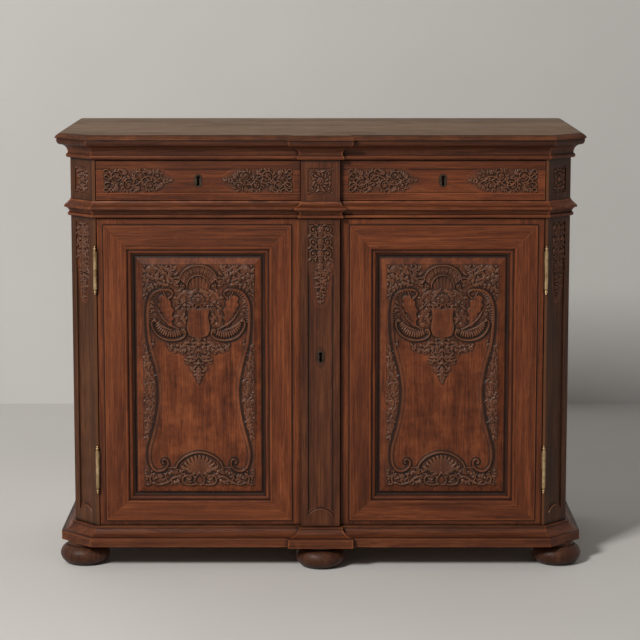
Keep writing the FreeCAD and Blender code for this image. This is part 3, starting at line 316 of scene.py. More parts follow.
def carved_tones(sh, colour, patch):
    """Dirt and painted shade in the hollows, and dust with a painted highlight on the heights, from what a
    carving has on its points.
    """
    cavity, stain = (sh.value("Attribute", out="Fac", attribute_name=name) for name in ("cavity", "stain"))
    high = sh.span(cavity, 0.55, 0.80) * sh.span(patch, 0.3, 0.6, 0.45, 1.0)
    high = high * sh.span(stain, 0.0, 0.6, 0.25, 1.0)
    colour = sh.mix(stain * 0.4, colour, STAIN)
    # Painted shade, with dirt, in the hollows
    colour = sh.mix(sh.span(cavity, 0.5, 0.16) * 0.90, colour, HOLLOW_DIRT_AND_SHADE)
    # Painted highlight, with dust, on the heights
    return sh.mix(high * 0.45, colour, RAISED_DUST_AND_HIGHLIGHT)


def plain_tones(sh, colour, patch, light, dirt_and_shade, wear):
    """Dirt and painted shade in the corners, and worn edges."""
    edge = sh.span(sh.crevice(0.0035, True), 0.93, 0.55) * sh.span(patch, 0.35, 0.65)
    # Painted shade from ambient occlusion: soft in wide hollows with dust, dark in tight corners with soot
    colour = sh.mix(sh.span(sh.crevice(0.035), 0.85, 0.3) * (0.45 * dirt_and_shade), colour, DUST_AND_SHADE)
    colour = sh.mix(sh.span(sh.crevice(0.010), 0.95, 0.62) * dirt_and_shade, colour, SOOT_AND_SHADE)
    return sh.mix(edge * wear, colour, [1.35 * part for part in light])


def thumb_tones(sh, colour, z, body, patch):
    """The redder edge of the top board, with a painted shade line under its arris."""
    red = sh.mix(sh.span(body, -0.6, 0.7), *THUMB)
    red = sh.mix(sh.span(patch, 0.40, 0.62, 0.0, 0.45), red, THUMB_PATCH)
    # Painted shade line just under the arris
    red = sh.mix(sh.level(z, 1.0922, 1.0938) * 0.6, red, THUMB_SHADE_LINE)
    return sh.mix(sh.span(z, 1.0949, 1.0941), colour, red)


def oak(name, grain="z", seed=0.0, tones=OAK, gloss=0.42, dirt_and_shade=0.9, wear=0.4, carved=False,
        thumb=False, boards=True, marks=None, figure=(0.62, 0.0)):
    """Stained and waxed oak with streaks, rings, pores, ray fleck, soot and painted shade in the crevices,
    worn edges, and marks of soot, wear, painted shade and painted highlight.
    """
    sh = Shader(bpy.data.materials.new(name))
    point, parts = sh.place()
    shift = sh.value("NewGeometry", out="Random Per Island") if boards else 0.5
    offset = shift * 3.7 + seed
    vector = sh.vector("ADD", grain_vector(sh, grain, parts), sh.join(offset, offset * 1.7, offset))
    broad = sh.noise(vector, (6, 6, 1.2), 3, 0.55)
    cloud = sh.noise(vector, (30, 30, 3.4), 3, 0.55, 0.5)
    streak = sh.noise(vector, (200, 200, 4.8), 6, 0.68, 0.25)
    fine = sh.noise(vector, (420, 420, 13), 3, 0.6)
    field = sh.noise(vector, (4.5, 4.5, 0.7), 1.5, 0.5)
    rings = sh.math("SINE", field * 170 + cloud * 7)
    pore = sh.span(sh.noise(vector, (620, 620, 26), 2, 0.5), 0.56, 0.68)
    fleck = sh.span(sh.noise(vector, (26, 150, 30), 2, 0.4, 0.6), 0.62, 0.72)
    mottle = sh.noise(point, 9.0, 4, 0.6)
    patch = sh.noise(point, 26.0, 4, 0.65)
    dark, mid, light = tones
    lines, blotches = figure
    body = (sh.span(streak, 0.26, 0.74, -lines, lines) + sh.span(cloud, 0.3, 0.7, -0.30, 0.30)
            + sh.span(patch, 0.3, 0.7, -blotches, blotches) + rings * 0.09
            + sh.span(fine, 0.3, 0.7, -0.26, 0.26))
    colour = sh.mix(sh.span(body, -0.75, 0.0), dark, mid)
    colour = sh.mix(sh.span(body, 0.0, 0.8), colour, light)
    tone = sh.span(broad, 0.3, 0.7, 0.76, 1.24) * sh.span(shift, 0, 1, 0.92, 1.08)
    colour = sh.vector("MULTIPLY", colour, sh.join(tone, tone, tone))
    colour = sh.mix(fleck * 0.2, colour, light)
    colour = sh.mix(pore * 0.55, colour, [0.5 * part for part in dark])
    if carved:
        colour = carved_tones(sh, colour, patch)
    else:
        colour = plain_tones(sh, colour, patch, light, dirt_and_shade, wear)
    # Marks: soot and painted shade where the amount is above 0, wear and painted highlight where it is below
    for share, amount in marks(sh, parts) if marks else ():
        share = share * sh.span(mottle, 0.25, 0.6, 0.8 * abs(amount), abs(amount))
        colour = sh.mix(share, colour, SOOT_AND_SHADE if amount > 0 else light)
    if thumb:
        colour = thumb_tones(sh, colour, parts[2], body, patch)
    sh.finish({"Base Color": colour, "Specular IOR Level": 0.27 if carved else 0.22,
               "Roughness": sh.span(mottle, 0.3, 0.7, gloss - 0.06, gloss + 0.09) + pore * 0.15})
    sh.bump(streak * 0.6 - pore * 0.5, 0.0007, 0.6)
    return sh.owner


def metal(name, colour, worn, rough, scale):
    """Aged metal: patches of tarnish over a worn colour."""
    sh = Shader(bpy.data.materials.new(name))
    point = sh.place()[0]
    fine = sh.noise(point, scale * 9, 3, 0.6)
    mixed = sh.mix(sh.span(sh.noise(point, scale, 4, 0.6), 0.35, 0.68), colour, worn)
    mixed = sh.mix(sh.span(sh.crevice(0.004), 0.8, 0.3) * 0.8, mixed, [0.15 * part for part in colour])
    sh.finish({"Base Color": mixed, "Metallic": 1.0,
               "Roughness": sh.span(fine, 0.3, 0.7, rough - 0.07, rough + 0.12)})
    sh.bump(fine, 0.0002, 0.4)
    return sh.owner


# Smooth faces and soft arrises: angles in degrees, and the metres between solids while one is welded

BEVEL_ANGLE = 40
SOFT_ANGLE = 12.5
TURNED_ANGLE = 25
CREASE_ANGLE = 50
ANY_ANGLE = 181
APART = 2.0


class Geometry(Nodes):
    """A geometry node group with one input and one output."""

    def __init__(self, name):
        self.tree = bpy.data.node_groups.new(name, "GeometryNodeTree")
        for side in ("INPUT", "OUTPUT"):
            self.tree.interface.new_socket("Geometry", in_out=side, socket_type="NodeSocketGeometry")
        self.last = self.add("NodeGroupInput").outputs[0]

    def step(self, kind, inputs, **props):
        """A node that the geometry passes through."""
        self.last = self.add(kind, {"Geometry": self.last, **inputs}, **props).outputs[0]

    def shade(self, domain, smooth, **where):
        self.step("GeometryNodeSetShadeSmooth", {"Shade Smooth": smooth, **where}, domain=domain)

    def sharpen(self, low, high):
        """Mark the edges between two angles sharp."""
        angle = self.add("GeometryNodeInputMeshEdgeAngle").outputs["Unsigned Angle"]
        picks = []
        for mode, limit in (("GREATER_THAN", low), ("LESS_THAN", high)):
            node = self.add("FunctionNodeCompare", {0: angle, 1: math.radians(limit)}, operation=mode)
            picks.append(node.outputs[0])
        both_hold = self.add("FunctionNodeBooleanMath", enumerate(picks)).outputs[0]
        self.shade("EDGE", False, Selection=both_hold)

    def end(self):
        self.add("NodeGroupOutput", {0: self.last})
        return self.tree


def weld_group(name, low, high):
    """Join the vertices of each solid, shade it smooth and mark the edges between two angles sharp."""
    geo = Geometry(name)
    solid = geo.add("GeometryNodeInputNamedAttribute", {0: "solid"}, data_type="INT").outputs[0]
    for apart in (APART, -APART):
        times = geo.add("ShaderNodeMath", {0: solid, 1: apart}, operation="MULTIPLY").outputs[0]
        offset = geo.add("ShaderNodeCombineXYZ", {0: times}).outputs[0]
        geo.step("GeometryNodeSetPosition", {"Offset": offset})
        if apart > 0:
            geo.step("GeometryNodeMergeByDistance", {"Distance": 2e-5})
    geo.shade("FACE", True)
    geo.shade("EDGE", True)
    geo.sharpen(low, high)
    return geo.end()


def crease_group(name, low):
    """Mark the edges over an angle sharp."""
    geo = Geometry(name)
    geo.sharpen(low, ANY_ANGLE)
    return geo.end()


WELD = weld_group("weld_solids", SOFT_ANGLE, BEVEL_ANGLE)
WELD_PLAIN = weld_group("weld_turned", TURNED_ANGLE, ANY_ANGLE)
CREASE = crease_group("creases", CREASE_ANGLE)


def number_solids(mesh):
    """Write the number of its solid on each vertex: a solid ends where its surface closes."""
    keys = {}
    names = [keys.setdefault(tuple(round(c * 1e6) for c in v.co), len(keys)) for v in mesh.vertices]
    solid = np.zeros(len(mesh.vertices), np.int32)
    unmatched = {}
    number = 0
    for poly in mesh.polygons:
        corners = list(poly.vertices)
        for a, b in zip(corners, corners[1:] + corners[:1]):
            edge, back = (names[a], names[b]), (names[b], names[a])
            if back in unmatched:
                unmatched[back] -= 1
                if not unmatched[back]:
                    del unmatched[back]
            else:
                unmatched[edge] = unmatched.get(edge, 0) + 1
        solid[corners] = number
        if not unmatched:
            number += 1
    mesh.attributes.new("solid", "INT", "POINT").data.foreach_set("value", solid)


def soften(obj, width):
    """Round the arrises of a piece a little and shade it smooth between its creases."""
    mesh = obj.data
    if "custom_normal" in mesh.attributes:
        mesh.attributes.remove(mesh.attributes["custom_normal"])
    number_solids(mesh)

    def step(name, kind, **props):
        modifier = obj.modifiers.new(name, kind)
        for key, value in props.items():
            setattr(modifier, key, value)
    step("weld", "NODES", node_group=WELD if width else WELD_PLAIN)
    if width:
        step("flat_faces", "DECIMATE", decimate_type="DISSOLVE", angle_limit=math.radians(0.1))
        step("arris", "BEVEL", width=width, segments=2, limit_method="ANGLE",
             angle_limit=math.radians(BEVEL_ANGLE))
        step("creases", "NODES", node_group=CREASE)
        step("weighted", "WEIGHTED_NORMAL", keep_sharp=True)


# Materials of the frame's pieces

def dress(names, material, width=0.0007):
    """Give nodes a material and soften their arrises."""
    for name in names.split():
        slots = NODES[name].data.materials
        if not slots:
            slots.append(material)
        for index in range(len(slots)):
            slots[index] = material
        soften(NODES[name], width)


def both(names):
    """Names of nodes on the left and on the right."""
    return " ".join("%s_%s" % (side, name) for name in names.split() for side in ("left", "right"))


def inner(name, grain, seed):
    """Raw oak of the inside."""
    return oak("oak_inner_" + name, grain, seed, RAW, 0.6, 0.5, 0.1)


def carved_oak(name, grain, seed, **more):
    return oak(name + "_carved", grain, seed, gloss=0.30, carved=True, boards=False, **more)


dress("top_board", oak("oak_top", "x", 0.0, TOP, 0.58, thumb=True), 0.0006)
dress("cornice_moulding waist_moulding plinth_moulding",
      oak("oak_moulding", ("x", "y", end_runs), 2.0, MOULD, wear=0.75, marks=MOULDING_MARKS), 0.0005)
dress(both("front_post back_post"), oak("oak_post", "z", 4.0, POST, boards=False, marks=post_marks))
dress("base_rail waist_rail top_front_rail", oak("oak_rail", "x", 6.0))
dress("centre_frieze_block", oak("oak_frieze", "z", 8.0, DULL, boards=False))
dress(both("side_rails"), oak("oak_side_rail", "y", 10.0))
dress(both("side_panels"), oak("oak_side_panel", "z", 12.0), 0.0004)
dress(both("door_frame"), oak("oak_door_frame", ("z", "x", door_rails), 14.0, marks=FRAME_MARKS))
dress(both("door_facing"), oak("oak_facing", ("z", "x", FACING), 16.0, marks=facing_marks))
dress(both("door_moulding"), oak("oak_panel_moulding", ("z", "x", INNER), 18.0, marks=INNER_MARKS), 0.0004)
dress(both("door_panel"), oak("oak_panel", "z", 20.0, boards=False, marks=PANEL_MARKS, figure=PANEL_FIGURE))
dress("left_door_pilaster", oak("oak_pilaster", "z", 22.0, DULL, boards=False, marks=pilaster_marks))
dress(both("drawer_front"), oak("oak_drawer", "x", 24.0, boards=False, marks=DRAWER_MARKS))
dress(both("front_foot back_foot") + " centre_front_foot", oak("oak_foot", "z", 26.0, DARK), 0.0)
dress("bottom_board shelf dust_board door_stops foot_blocks " + both("drawer_bottom"), inner("x", "x", 30.0))
dress("shelf_bearers drawer_runners", inner("y", "y", 32.0))
dress(both("drawer_box"), inner("drawer", ("y", "x", drawer_backs), 36.0))
dress("back_frame back_panels", inner("z", "z", 34.0))
dress("post_hinges " + both("door_hinges"),
      metal("aged_brass", (0.30, 0.19, 0.09), (0.62, 0.45, 0.25), 0.36, 60), 0.0)
dress("door_lock door_lock_bolt door_lock_keeper bolt_guides top_bolt bottom_bolt "
      + both("drawer_lock drawer_lock_bolt"),
      metal("dark_iron", (0.036, 0.027, 0.021), (0.085, 0.060, 0.044), 0.5, 90), 0.0003)

CARVED_PANEL = carved_oak("oak_panel", "z", 20.0, figure=PANEL_FIGURE)
CARVED_DRAWER = carved_oak("oak_drawer", "x", 24.0)
CARVED_PILASTER = carved_oak("oak_pilaster", "z", 22.0)
CARVED_FRIEZE = carved_oak("oak_frieze", "z", 8.0)
CARVED_POST = carved_oak("oak_post", "z", 4.0)


# Carving: heights over a grid, in millimetres, built from strokes

def smooth_line(points, spacing=0.7):
    """Points along a smooth curve through the given ones, about a spacing apart."""
    points = np.asarray(points, float)
    if len(points) == 2:
        count = max(2, int(np.hypot(*(points[1] - points[0])) / spacing))
        share = np.linspace(0, 1, count + 1)[:, None]
        return points[0] * (1 - share) + points[1] * share
    ends = np.vstack([2 * points[0] - points[1], points, 2 * points[-1] - points[-2]])
    parts = []
    for a, b, c, d in zip(ends, ends[1:], ends[2:], ends[3:]):
        count = max(2, int(np.hypot(*(c - b)) / spacing))
        t = (np.arange(count) / count)[:, None]
        parts.append(0.5 * (2 * b + (c - a) * t + (2 * a - 5 * b + 4 * c - d) * t ** 2
                            + (3 * b - a - 3 * c + d) * t ** 3))
    return np.vstack(parts + [points[-1:]])


def spiral(centre, start, radius, turns, tight=0.25):
    """Points of a scroll that starts at an angle in degrees and winds inward; turns < 0 winds clockwise."""
    count = max(6, int(abs(turns) * 14))
    share = np.linspace(0, 1, count)
    angle = math.radians(start) + 2 * math.pi * turns * share
    reach = radius * (1 - (1 - tight) * share ** 0.8)
    return np.stack([centre[0] + reach * np.cos(angle), centre[1] + reach * np.sin(angle)], 1)


def bend(start, angle, length, curl, count=7):
    """Points of an arc that leaves a point at an angle and turns by curl degrees."""
    heading = math.radians(angle) + math.radians(curl) * (np.arange(count) + 0.5) / count
    steps = np.stack([np.cos(heading), np.sin(heading)], 1) * length / count
    return np.vstack([[start], start + np.cumsum(steps, 0)])


def arc(v, wide, tall, low, high, count):
    """Points of an arc about (0, v), by angles in radians from the top."""
    return [(wide * math.sin(a), v + tall * math.cos(a)) for a in np.linspace(low, high, count)]


def beside(points, gaps):
    """A curve moved to its right, by distances given along it."""
    line = smooth_line(points)
    ahead = np.gradient(line, axis=0)
    ahead /= np.hypot(*ahead.T)[:, None]
    gap = np.interp(np.linspace(0, 1, len(line)), np.linspace(0, 1, len(gaps)), gaps)[:, None]
    return (line + gap * np.stack([ahead[:, 1], -ahead[:, 0]], 1))[::4]


def heading_at(line, k):
    """Direction of a line at a step, in degrees."""
    return math.degrees(math.atan2(*(line[k + 1] - line[k])[::-1]))


def within(u, v, outline):
    """Whether points lie inside a closed outline."""
    inside = np.zeros(np.shape(u), bool)
    for (a, b), (c, d) in zip(outline, np.roll(outline, -1, 0)):
        if b != d:
            inside ^= ((v < b) != (v < d)) & (u < (c - a) * (v - b) / (d - b) + a)
    return inside


def blur(values, radius):
    """Soften a grid by three box averages."""
    size = max(1, int(round(radius)))
    span = 2 * size + 1
    for axis in (0, 1) * 3:
        before, after = (np.take(values, [end] * size, axis) for end in (0, -1))
        total = np.cumsum(np.concatenate([before, values, after], axis), axis)
        total = np.concatenate([np.zeros_like(np.take(total, [0], axis)), total], axis)
        high = np.take(total, np.arange(span, total.shape[axis]), axis)
        low = np.take(total, np.arange(0, total.shape[axis] - span), axis)
        values = (high - low) / span
    return values


def each(call, *rows):
    """Make a call with each row of values."""
    for row in rows:
        call(*row)


# Profiles: height of a stroke over the share of its half width

def round_top(q):
    return np.sqrt(np.clip(1 - q * q, 0, 1))


def veined(q):
    body = np.clip(1 - q * q, 0, 1) ** 0.55
    return body * (1 - 0.45 * np.exp(-(q / 0.2) ** 2))


def dished(q):
    """A lobe with raised edges and a hollow middle."""
    body = np.clip(1 - np.abs(q) ** 3.5, 0, 1)
    return body * (0.55 + 0.45 * np.abs(q) ** 1.5)


def cushion(q):
    """A flat band with round arrises."""
    return np.clip(1 - np.abs(q) ** 5, 0, 1) ** 0.5 * (0.86 + 0.14 * q * q)


LEAF_WIDTH_SHARES = (0.25, 0.8, 1.0, 0.8, 0.15)
LEAF_HEIGHT_SHARES = (0.75, 1.0, 1.0, 0.85, 0.5)


class Relief:
    """Heights of a carved surface over a rectangle."""

    def __init__(self, u0, u1, v0, v1, pitch):
        self.u = np.arange(u0, u1 + pitch / 2, pitch)
        self.v = np.arange(v0, v1 + pitch / 2, pitch)
        self.pitch = pitch
        self.h = np.zeros((len(self.v), len(self.u)))
        self.ground = np.zeros_like(self.h)
        self.shade = np.zeros_like(self.h)
        self.stain = np.ones_like(self.h)
        self.mirror = False

    def sides(self, points):
        """The smooth line through the points, and its mirror image where the relief has one."""
        line = smooth_line(points)
        return [(line, 1), (line * (-1, 1), -1)] if self.mirror else [(line, 1)]

    def near(self, line, half, side):
        """Window round a line, with the share of its half width (signed across) and the nearest step."""
        pad = half.max() + self.pitch
        (u0, v0), (u1, v1) = line.min(0) - pad, line.max(0) + pad
        rows = slice(*np.searchsorted(self.v, (v0, v1)))
        cols = slice(*np.searchsorted(self.u, (u0, u1)))
        u, v = np.meshgrid(self.u[cols], self.v[rows])
        best = np.full(u.shape, 1e9)
        across = np.zeros(u.shape)
        along = np.zeros(u.shape, int)
        reach = pad + 0.8
        for k, ((a, b), (ta, tb)) in enumerate(zip(line, np.gradient(line, axis=0))):
            part = (slice(*np.searchsorted(self.v[rows], (b - reach, b + reach))),
                    slice(*np.searchsorted(self.u[cols], (a - reach, a + reach))))
            du, dv = u[part] - a, v[part] - b
            gap = (du * du + dv * dv) / max(half[k], 0.2) ** 2
            close = gap < best[part]
            best[part] = np.where(close, gap, best[part])
            across[part] = np.where(close, np.sign(ta * dv - tb * du) * side, across[part])
            along[part] = np.where(close, k, along[part])
        return (rows, cols), np.sqrt(best), across, along

    def stroke(self, points, width, height, profile=round_top, stain=None):
        """Raise a band along a curve; width and height are one number, a pair or a list."""
        for line, side in self.sides(points):
            share = np.linspace(0, 1, len(line))
            half = np.interp(share, np.linspace(0, 1, np.size(width)), np.atleast_1d(width)) / 2
            rise = np.interp(share, np.linspace(0, 1, np.size(height)), np.atleast_1d(height))
            window, q, across, along = self.near(line, half, side)
            inside = q < 1
            top = rise[along] * profile(np.where(inside, q * across, 1.0))
            target = self.h[window]
            target[inside] = np.maximum(target, top)[inside]
            if stain is not None:
                self.stain[window][inside] = stain

    def paint_shade_line(self, points, width, amount):
        """Painted shade: darken the ground along a curve."""
        for line, side in self.sides(points):
            window, q, across, along = self.near(line, np.full(len(line), width / 2), side)
            dark = amount * np.clip(1 - np.abs(2 * q - 1), 0, 1) ** 0.5
            self.shade[window] = np.maximum(self.shade[window], np.where(q < 1, dark, 0))

    def boss(self, centre, radius, height):
        self.stroke([centre, (centre[0] + 0.01, centre[1])], 2 * radius, height)

    def leaf(self, start, angle, length, width, curl=30, height=3.0, profile=veined):
        """A pointed leaf that curves away."""
        self.stroke(bend(start, angle, length, curl), [share * width for share in LEAF_WIDTH_SHARES],
                    [share * height for share in LEAF_HEIGHT_SHARES], profile)

    def frond(self, stem, leaves, length, width, spread, curl, height, taper=0.45):
        """Leaves in pairs along a stem, smaller towards its tip, over a raised spine."""
        line = smooth_line(stem)
        for share in np.linspace(0.06, 0.9, leaves):
            k = int(share * (len(line) - 2))
            scale = 1 - (1 - taper) * share
            for side in (1, -1):
                self.leaf(line[k], heading_at(line, k) + side * spread, length * scale, width * scale,
                          side * curl, height * (0.8 + 0.2 * scale))
        k = len(line) - 2
        self.leaf(line[k], heading_at(line, k), length * taper, width * taper, 0, height)
        self.stroke(stem, [1.8, 0.9], height * 1.15)

    def flower(self, centre, radius, petals, height, turn):
        """Dished petals round a boss, the first at an angle in degrees."""
        for k in range(petals):
            angle = turn + 360 * k / petals
            start = (centre[0] + 0.25 * radius * math.cos(math.radians(angle)),
                     centre[1] + 0.25 * radius * math.sin(math.radians(angle)))
            self.leaf(start, angle, 0.8 * radius, 0.8 * radius, 10, height * 0.85, dished)
        self.boss(centre, 0.3 * radius, height)

    def curl(self, centre, start, radius, turns, width, height):
        """A scroll with a round eye."""
        self.stroke(spiral(centre, start, radius, turns), [width, 0.7 * width], height)
        self.boss(centre, 0.34 * radius, height * 1.15)

    def beads(self, points, size, height, gap):
        """A row of beads, a number of bead widths apart."""
        line = smooth_line(points, 0.25)
        steps = np.concatenate([[0], np.cumsum(np.hypot(*np.diff(line, axis=0).T))])
        count = max(2, int(round(steps[-1] / (size * gap))))
        for place in np.linspace(0, steps[-1], count):
            k = min(int(np.searchsorted(steps, place)), len(line) - 1)
            self.boss(line[k], size / 2, height)

    def ribs(self, inner, outer, count, width, height, profile=round_top):
        """Short ribs from one curve to another."""
        a, b = smooth_line(inner), smooth_line(outer)
        for share in np.linspace(0, 1, count):
            rib = [line[int(share * (len(line) - 1))] for line in (a, b)]
            self.stroke(rib, [0.5 * width, width, 0.9 * width], [0.7 * height, height], profile)

    def area(self, corners, height=0.0, ground=1.0, soft=2.0, stain=None):
        """Raise, mark or stain a region inside a closed outline."""
        for side in ((1, -1) if self.mirror else (1,)):
            inside = within(*np.meshgrid(self.u, self.v), np.asarray(corners, float) * (side, 1))
            shape = blur(inside.astype(float), soft / self.pitch)
            if height:
                self.h = np.maximum(self.h, height * np.clip(shape * 2 - 0.5, 0, 1))
            self.ground = np.maximum(self.ground, shape * ground)
            if stain is not None:
                self.stain[inside] = stain

    def strew(self, corners, step, length, width, height, seed, buds=0.18):
        """Small leaves and buds spread evenly, each turned its own way, over a region."""
        rng = np.random.default_rng(seed)
        outline = np.asarray(corners, float)
        low, high = outline.min(0), outline.max(0)
        for v in np.arange(low[1], high[1], step):
            for u in np.arange(low[0], high[0], step):
                point = np.array((u, v)) + rng.uniform(0, step, 2)
                turn, size, bud = rng.uniform(0, 360), rng.uniform(0.75, 1.2), rng.uniform()
                bent, rise = rng.uniform(-70, 70), height * rng.uniform(0.75, 1.15)
                if not within(*point, outline):
                    continue
                if bud < buds:
                    self.boss(point, 0.42 * width * size, 1.15 * rise)
                else:
                    self.leaf(point, turn, length * size, width * size, bent, rise)


# Ground of a relief, in millimetres
GROUND_LOW = -0.3
GROUND_HIGH = 0.35
GROUND_GRAIN = 0.16
GROUND_EDGE = 0.02
CARVED_HEIGHT = 0.3
PUNCH_SIZE = 0.6
SKIRT = 2.2
SKIRT_GAIN = 1.6
LINE_BLUR = 0.8
STAIN_BLUR = 1.0


def surface(r, seed):
    """Heights of a relief with its punched ground, and the cavity, ground and stain of each point."""
    punched = blur(np.random.default_rng(seed).standard_normal(r.h.shape), max(1, PUNCH_SIZE / r.pitch))
    carved = blur((r.h > CARVED_HEIGHT).astype(float), SKIRT / r.pitch)
    ground = np.clip(np.maximum(r.ground, carved * SKIRT_GAIN), 0, 1)
    h = GROUND_LOW + (GROUND_HIGH - GROUND_LOW) * np.clip(ground * SKIRT_GAIN, 0, 1)
    h = np.maximum(h + GROUND_GRAIN * punched / punched.std() * ground, 0)
    h = np.where(ground > GROUND_EDGE, np.maximum(h, r.h + GROUND_HIGH * 0.5), GROUND_LOW)
    cavity = 0.5 + 0.22 * (h - blur(h, 2.0 / r.pitch)) + 0.10 * (h - blur(h, 5.5 / r.pitch))
    # Painted shade lines from the shade grid darken the cavity, which the material turns into painted shade
    cavity = np.clip(cavity - blur(r.shade, LINE_BLUR / r.pitch), 0, 1)
    return h, cavity, ground, ground * blur(r.stain, STAIN_BLUR / r.pitch)


# Carving of the door field: u from the middle of the field, v as the height in the object

def whole(half):
    """A line from the middle outward, with its mirror image before it."""
    return [(-u, v) for u, v in half[:0:-1]] + half


STRAP_LINE = [(71.8, 685.5), (66, 689), (62.6, 697.5), (68, 705.5), (79, 708.8), (92, 708.6), (108.8, 703.5),
              (121, 691), (129, 672), (132, 645.8), (131.6, 615), (129.2, 584.2), (125.2, 557.5),
              (117, 528.8), (109.8, 500), (105.7, 473.3), (103.6, 448.7), (104.6, 424), (108.4, 393.3),
              (114.9, 362), (122.1, 333.7), (128.6, 309), (130.6, 284.5), (127.6, 263.9), (119.5, 248.5),
              (106.7, 241.3), (91, 244), (80.5, 253.5), (76.9, 265), (81.5, 275), (90.3, 276), (95, 269.5),
              (92, 263.5)]
ACANTHUS = [(98.4, 688.4), (101.3, 681.7), (96.4, 675), (101.3, 667.1), (95.6, 659.2), (93.8, 650.2),
            (86.6, 645.8), (87, 634.5), (80.4, 628.8), (79.2, 618.8), (70.3, 611.2), (63.7, 619.9),
            (67.4, 626.5), (60.3, 632.3), (65.7, 642.5), (60.3, 654.7), (67.9, 663.7), (68.2, 677.2),
            (75.8, 683.9), (82, 691.7), (90.5, 692.8)]
SHIELD = whole([(0, 656.5), (27, 659), (31, 656), (26, 652), (25, 636), (28, 620), (29, 604), (25, 592),
                (16, 587), (0, 584)])
SHELL_RIM = whole([(0, 293), (17, 290.5), (37, 281.5), (53, 267), (59, 254)])


def door_ground(r):
    """Leaf litter of the corners, the middle, the drops and the foot, and dark ground round the ornament."""
    each(r.strew,
         ([(46, 738), (60, 766), (138, 768), (138, 640), (132, 690), (122, 712), (100, 716), (70, 716),
           (50, 716)], 8.6, 15, 6.6, 3.2, 11),
         ([(8, 700), (30, 704), (40, 690), (38, 668), (30, 664), (6, 664)], 7.0, 12, 5.6, 3.0, 12),
         ([(34, 652), (50, 664), (60, 646), (60, 625), (52, 612), (42, 612), (34, 625)],
          10.0, 17, 8.0, 2.4, 13, 0.05),
         ([(0, 585), (18, 580), (24, 566), (20, 548), (24, 530), (18, 512), (11, 500), (8, 486), (0, 486)],
          6.6, 12, 5.8, 3.8, 14),
         ([(30, 568), (60, 566), (78, 572), (80, 560), (62, 550), (34, 548)], 6.0, 10, 4.8, 3.2, 15),
         ([(138, 575), (124, 530), (113, 490), (110, 440), (116, 385), (126, 340), (138, 318)],
          6.2, 12, 4.4, 2.4, 16),
         ([(4, 232), (40, 238), (60, 244), (100, 234), (136, 246), (138, 210), (4, 210)],
          9.4, 13, 6.0, 3.0, 17))
    r.area([(139, 700), (134, 640), (132, 590), (122, 540), (112, 490), (108, 445), (112, 390), (122, 345),
            (132, 300), (139, 300)], ground=0.9)
    r.area([(139, 770), (0, 770), (0, 560), (30, 560), (60, 572), (100, 578), (126, 600), (139, 640)],
           ground=0.75)
    r.area([(0, 292), (40, 274), (60, 254), (82, 252), (100, 240), (130, 258), (139, 300), (139, 208),
            (0, 208)], ground=0.75)


def hood(r):
    """A hood with radiating petals over a fluted hollow."""
    r.ribs(arc(718, 30, 28, 0.06, 1.5, 10), arc(731, 43, 33.5, 0.06, 1.5, 10), 11, 5.4, 5.2, veined)
    r.stroke(arc(731, 46, 36.5, 0, 1.55, 14) + [(50, 725), (56, 722)], [5.0, 5.0, 4.4, 3.0], 7.4)
    r.stroke(arc(716, 28, 27, 0, 1.7, 10), 3.6, 6.2)
    r.beads(arc(724, 35, 30, 0.06, 1.5, 10), 3.6, 6.6, 2.0)
    r.curl((38, 715), 60, 6.5, -1.3, 3.0, 6.5)
    r.ribs([(3, 702), (10, 702), (17, 704)], [(4, 738), (14, 735), (23, 727)], 3, 8.0, 2.4, dished)
    # Painted shade lines down the middle of the hollow and at its side
    each(r.paint_shade_line, ([(0, 738), (0, 704)], 3.4, 0.4), ([(54, 698), (52, 684), (44, 672), (36, 664)], 3.0, 0.3))
    each(r.leaf,
         ((46, 728), -20, 15, 7, 60, 5.5), ((41, 711), -70, 14, 7, 60, 4.5),
         ((6, 706), -35, 26, 10, 25, 4.0), ((26, 704), -20, 24, 9, -30, 3.4),
         ((44, 700), -78, 30, 8, 35, 2.8), ((12, 700), -60, 22, 9, 40, 4.4))
    r.area([(26, 706), (60, 706), (62, 676), (52, 660), (36, 664), (30, 690)], 0.9, 0.0, 1.5)


def corner_sprays(r):
    """Stems, leaves and flowers in the upper corners."""
    r.stroke([(47, 738), (60, 735), (74, 741), (88, 750), (103, 757), (122, 762)], [3.0, 2.0], 4.6)
    each(r.frond,
         ([(88, 748), (80, 757), (78, 766)], 3, 9, 5, 50, -30, 4.4),
         ([(74, 741), (66, 751), (60, 764)], 4, 10, 5.5, 48, -30, 4.2),
         ([(103, 757), (100, 762), (98, 768)], 2, 8, 5, 60, -20, 4.4),
         ([(60, 735), (72, 728), (86, 728), (97, 735)], 4, 11, 6, 50, -35, 4.4),
         ([(97, 735), (110, 735), (122, 741)], 3, 11, 6, 45, -35, 4.2),
         ([(92, 726), (104, 718), (116, 717), (128, 722)], 4, 11, 6, 50, -35, 4.0),
         ([(110, 715), (120, 706), (128, 695), (132, 682)], 4, 9, 5, 45, -30, 3.8))
    each(r.flower,
         ((121, 757), 8.5, 6, 5.6, 15), ((104, 741), 6.5, 5, 5.0, 30), ((86, 719), 6.0, 5, 4.8, 10),
         ((56, 722), 7.0, 6, 5.0, 0), ((126, 728), 6.0, 5, 4.8, 40))
    each(r.boss, ((66, 764), 3.2, 5.0), ((90, 765), 3.0, 4.8), ((133, 765), 2.6, 4.4), ((73, 727), 3.0, 4.6))


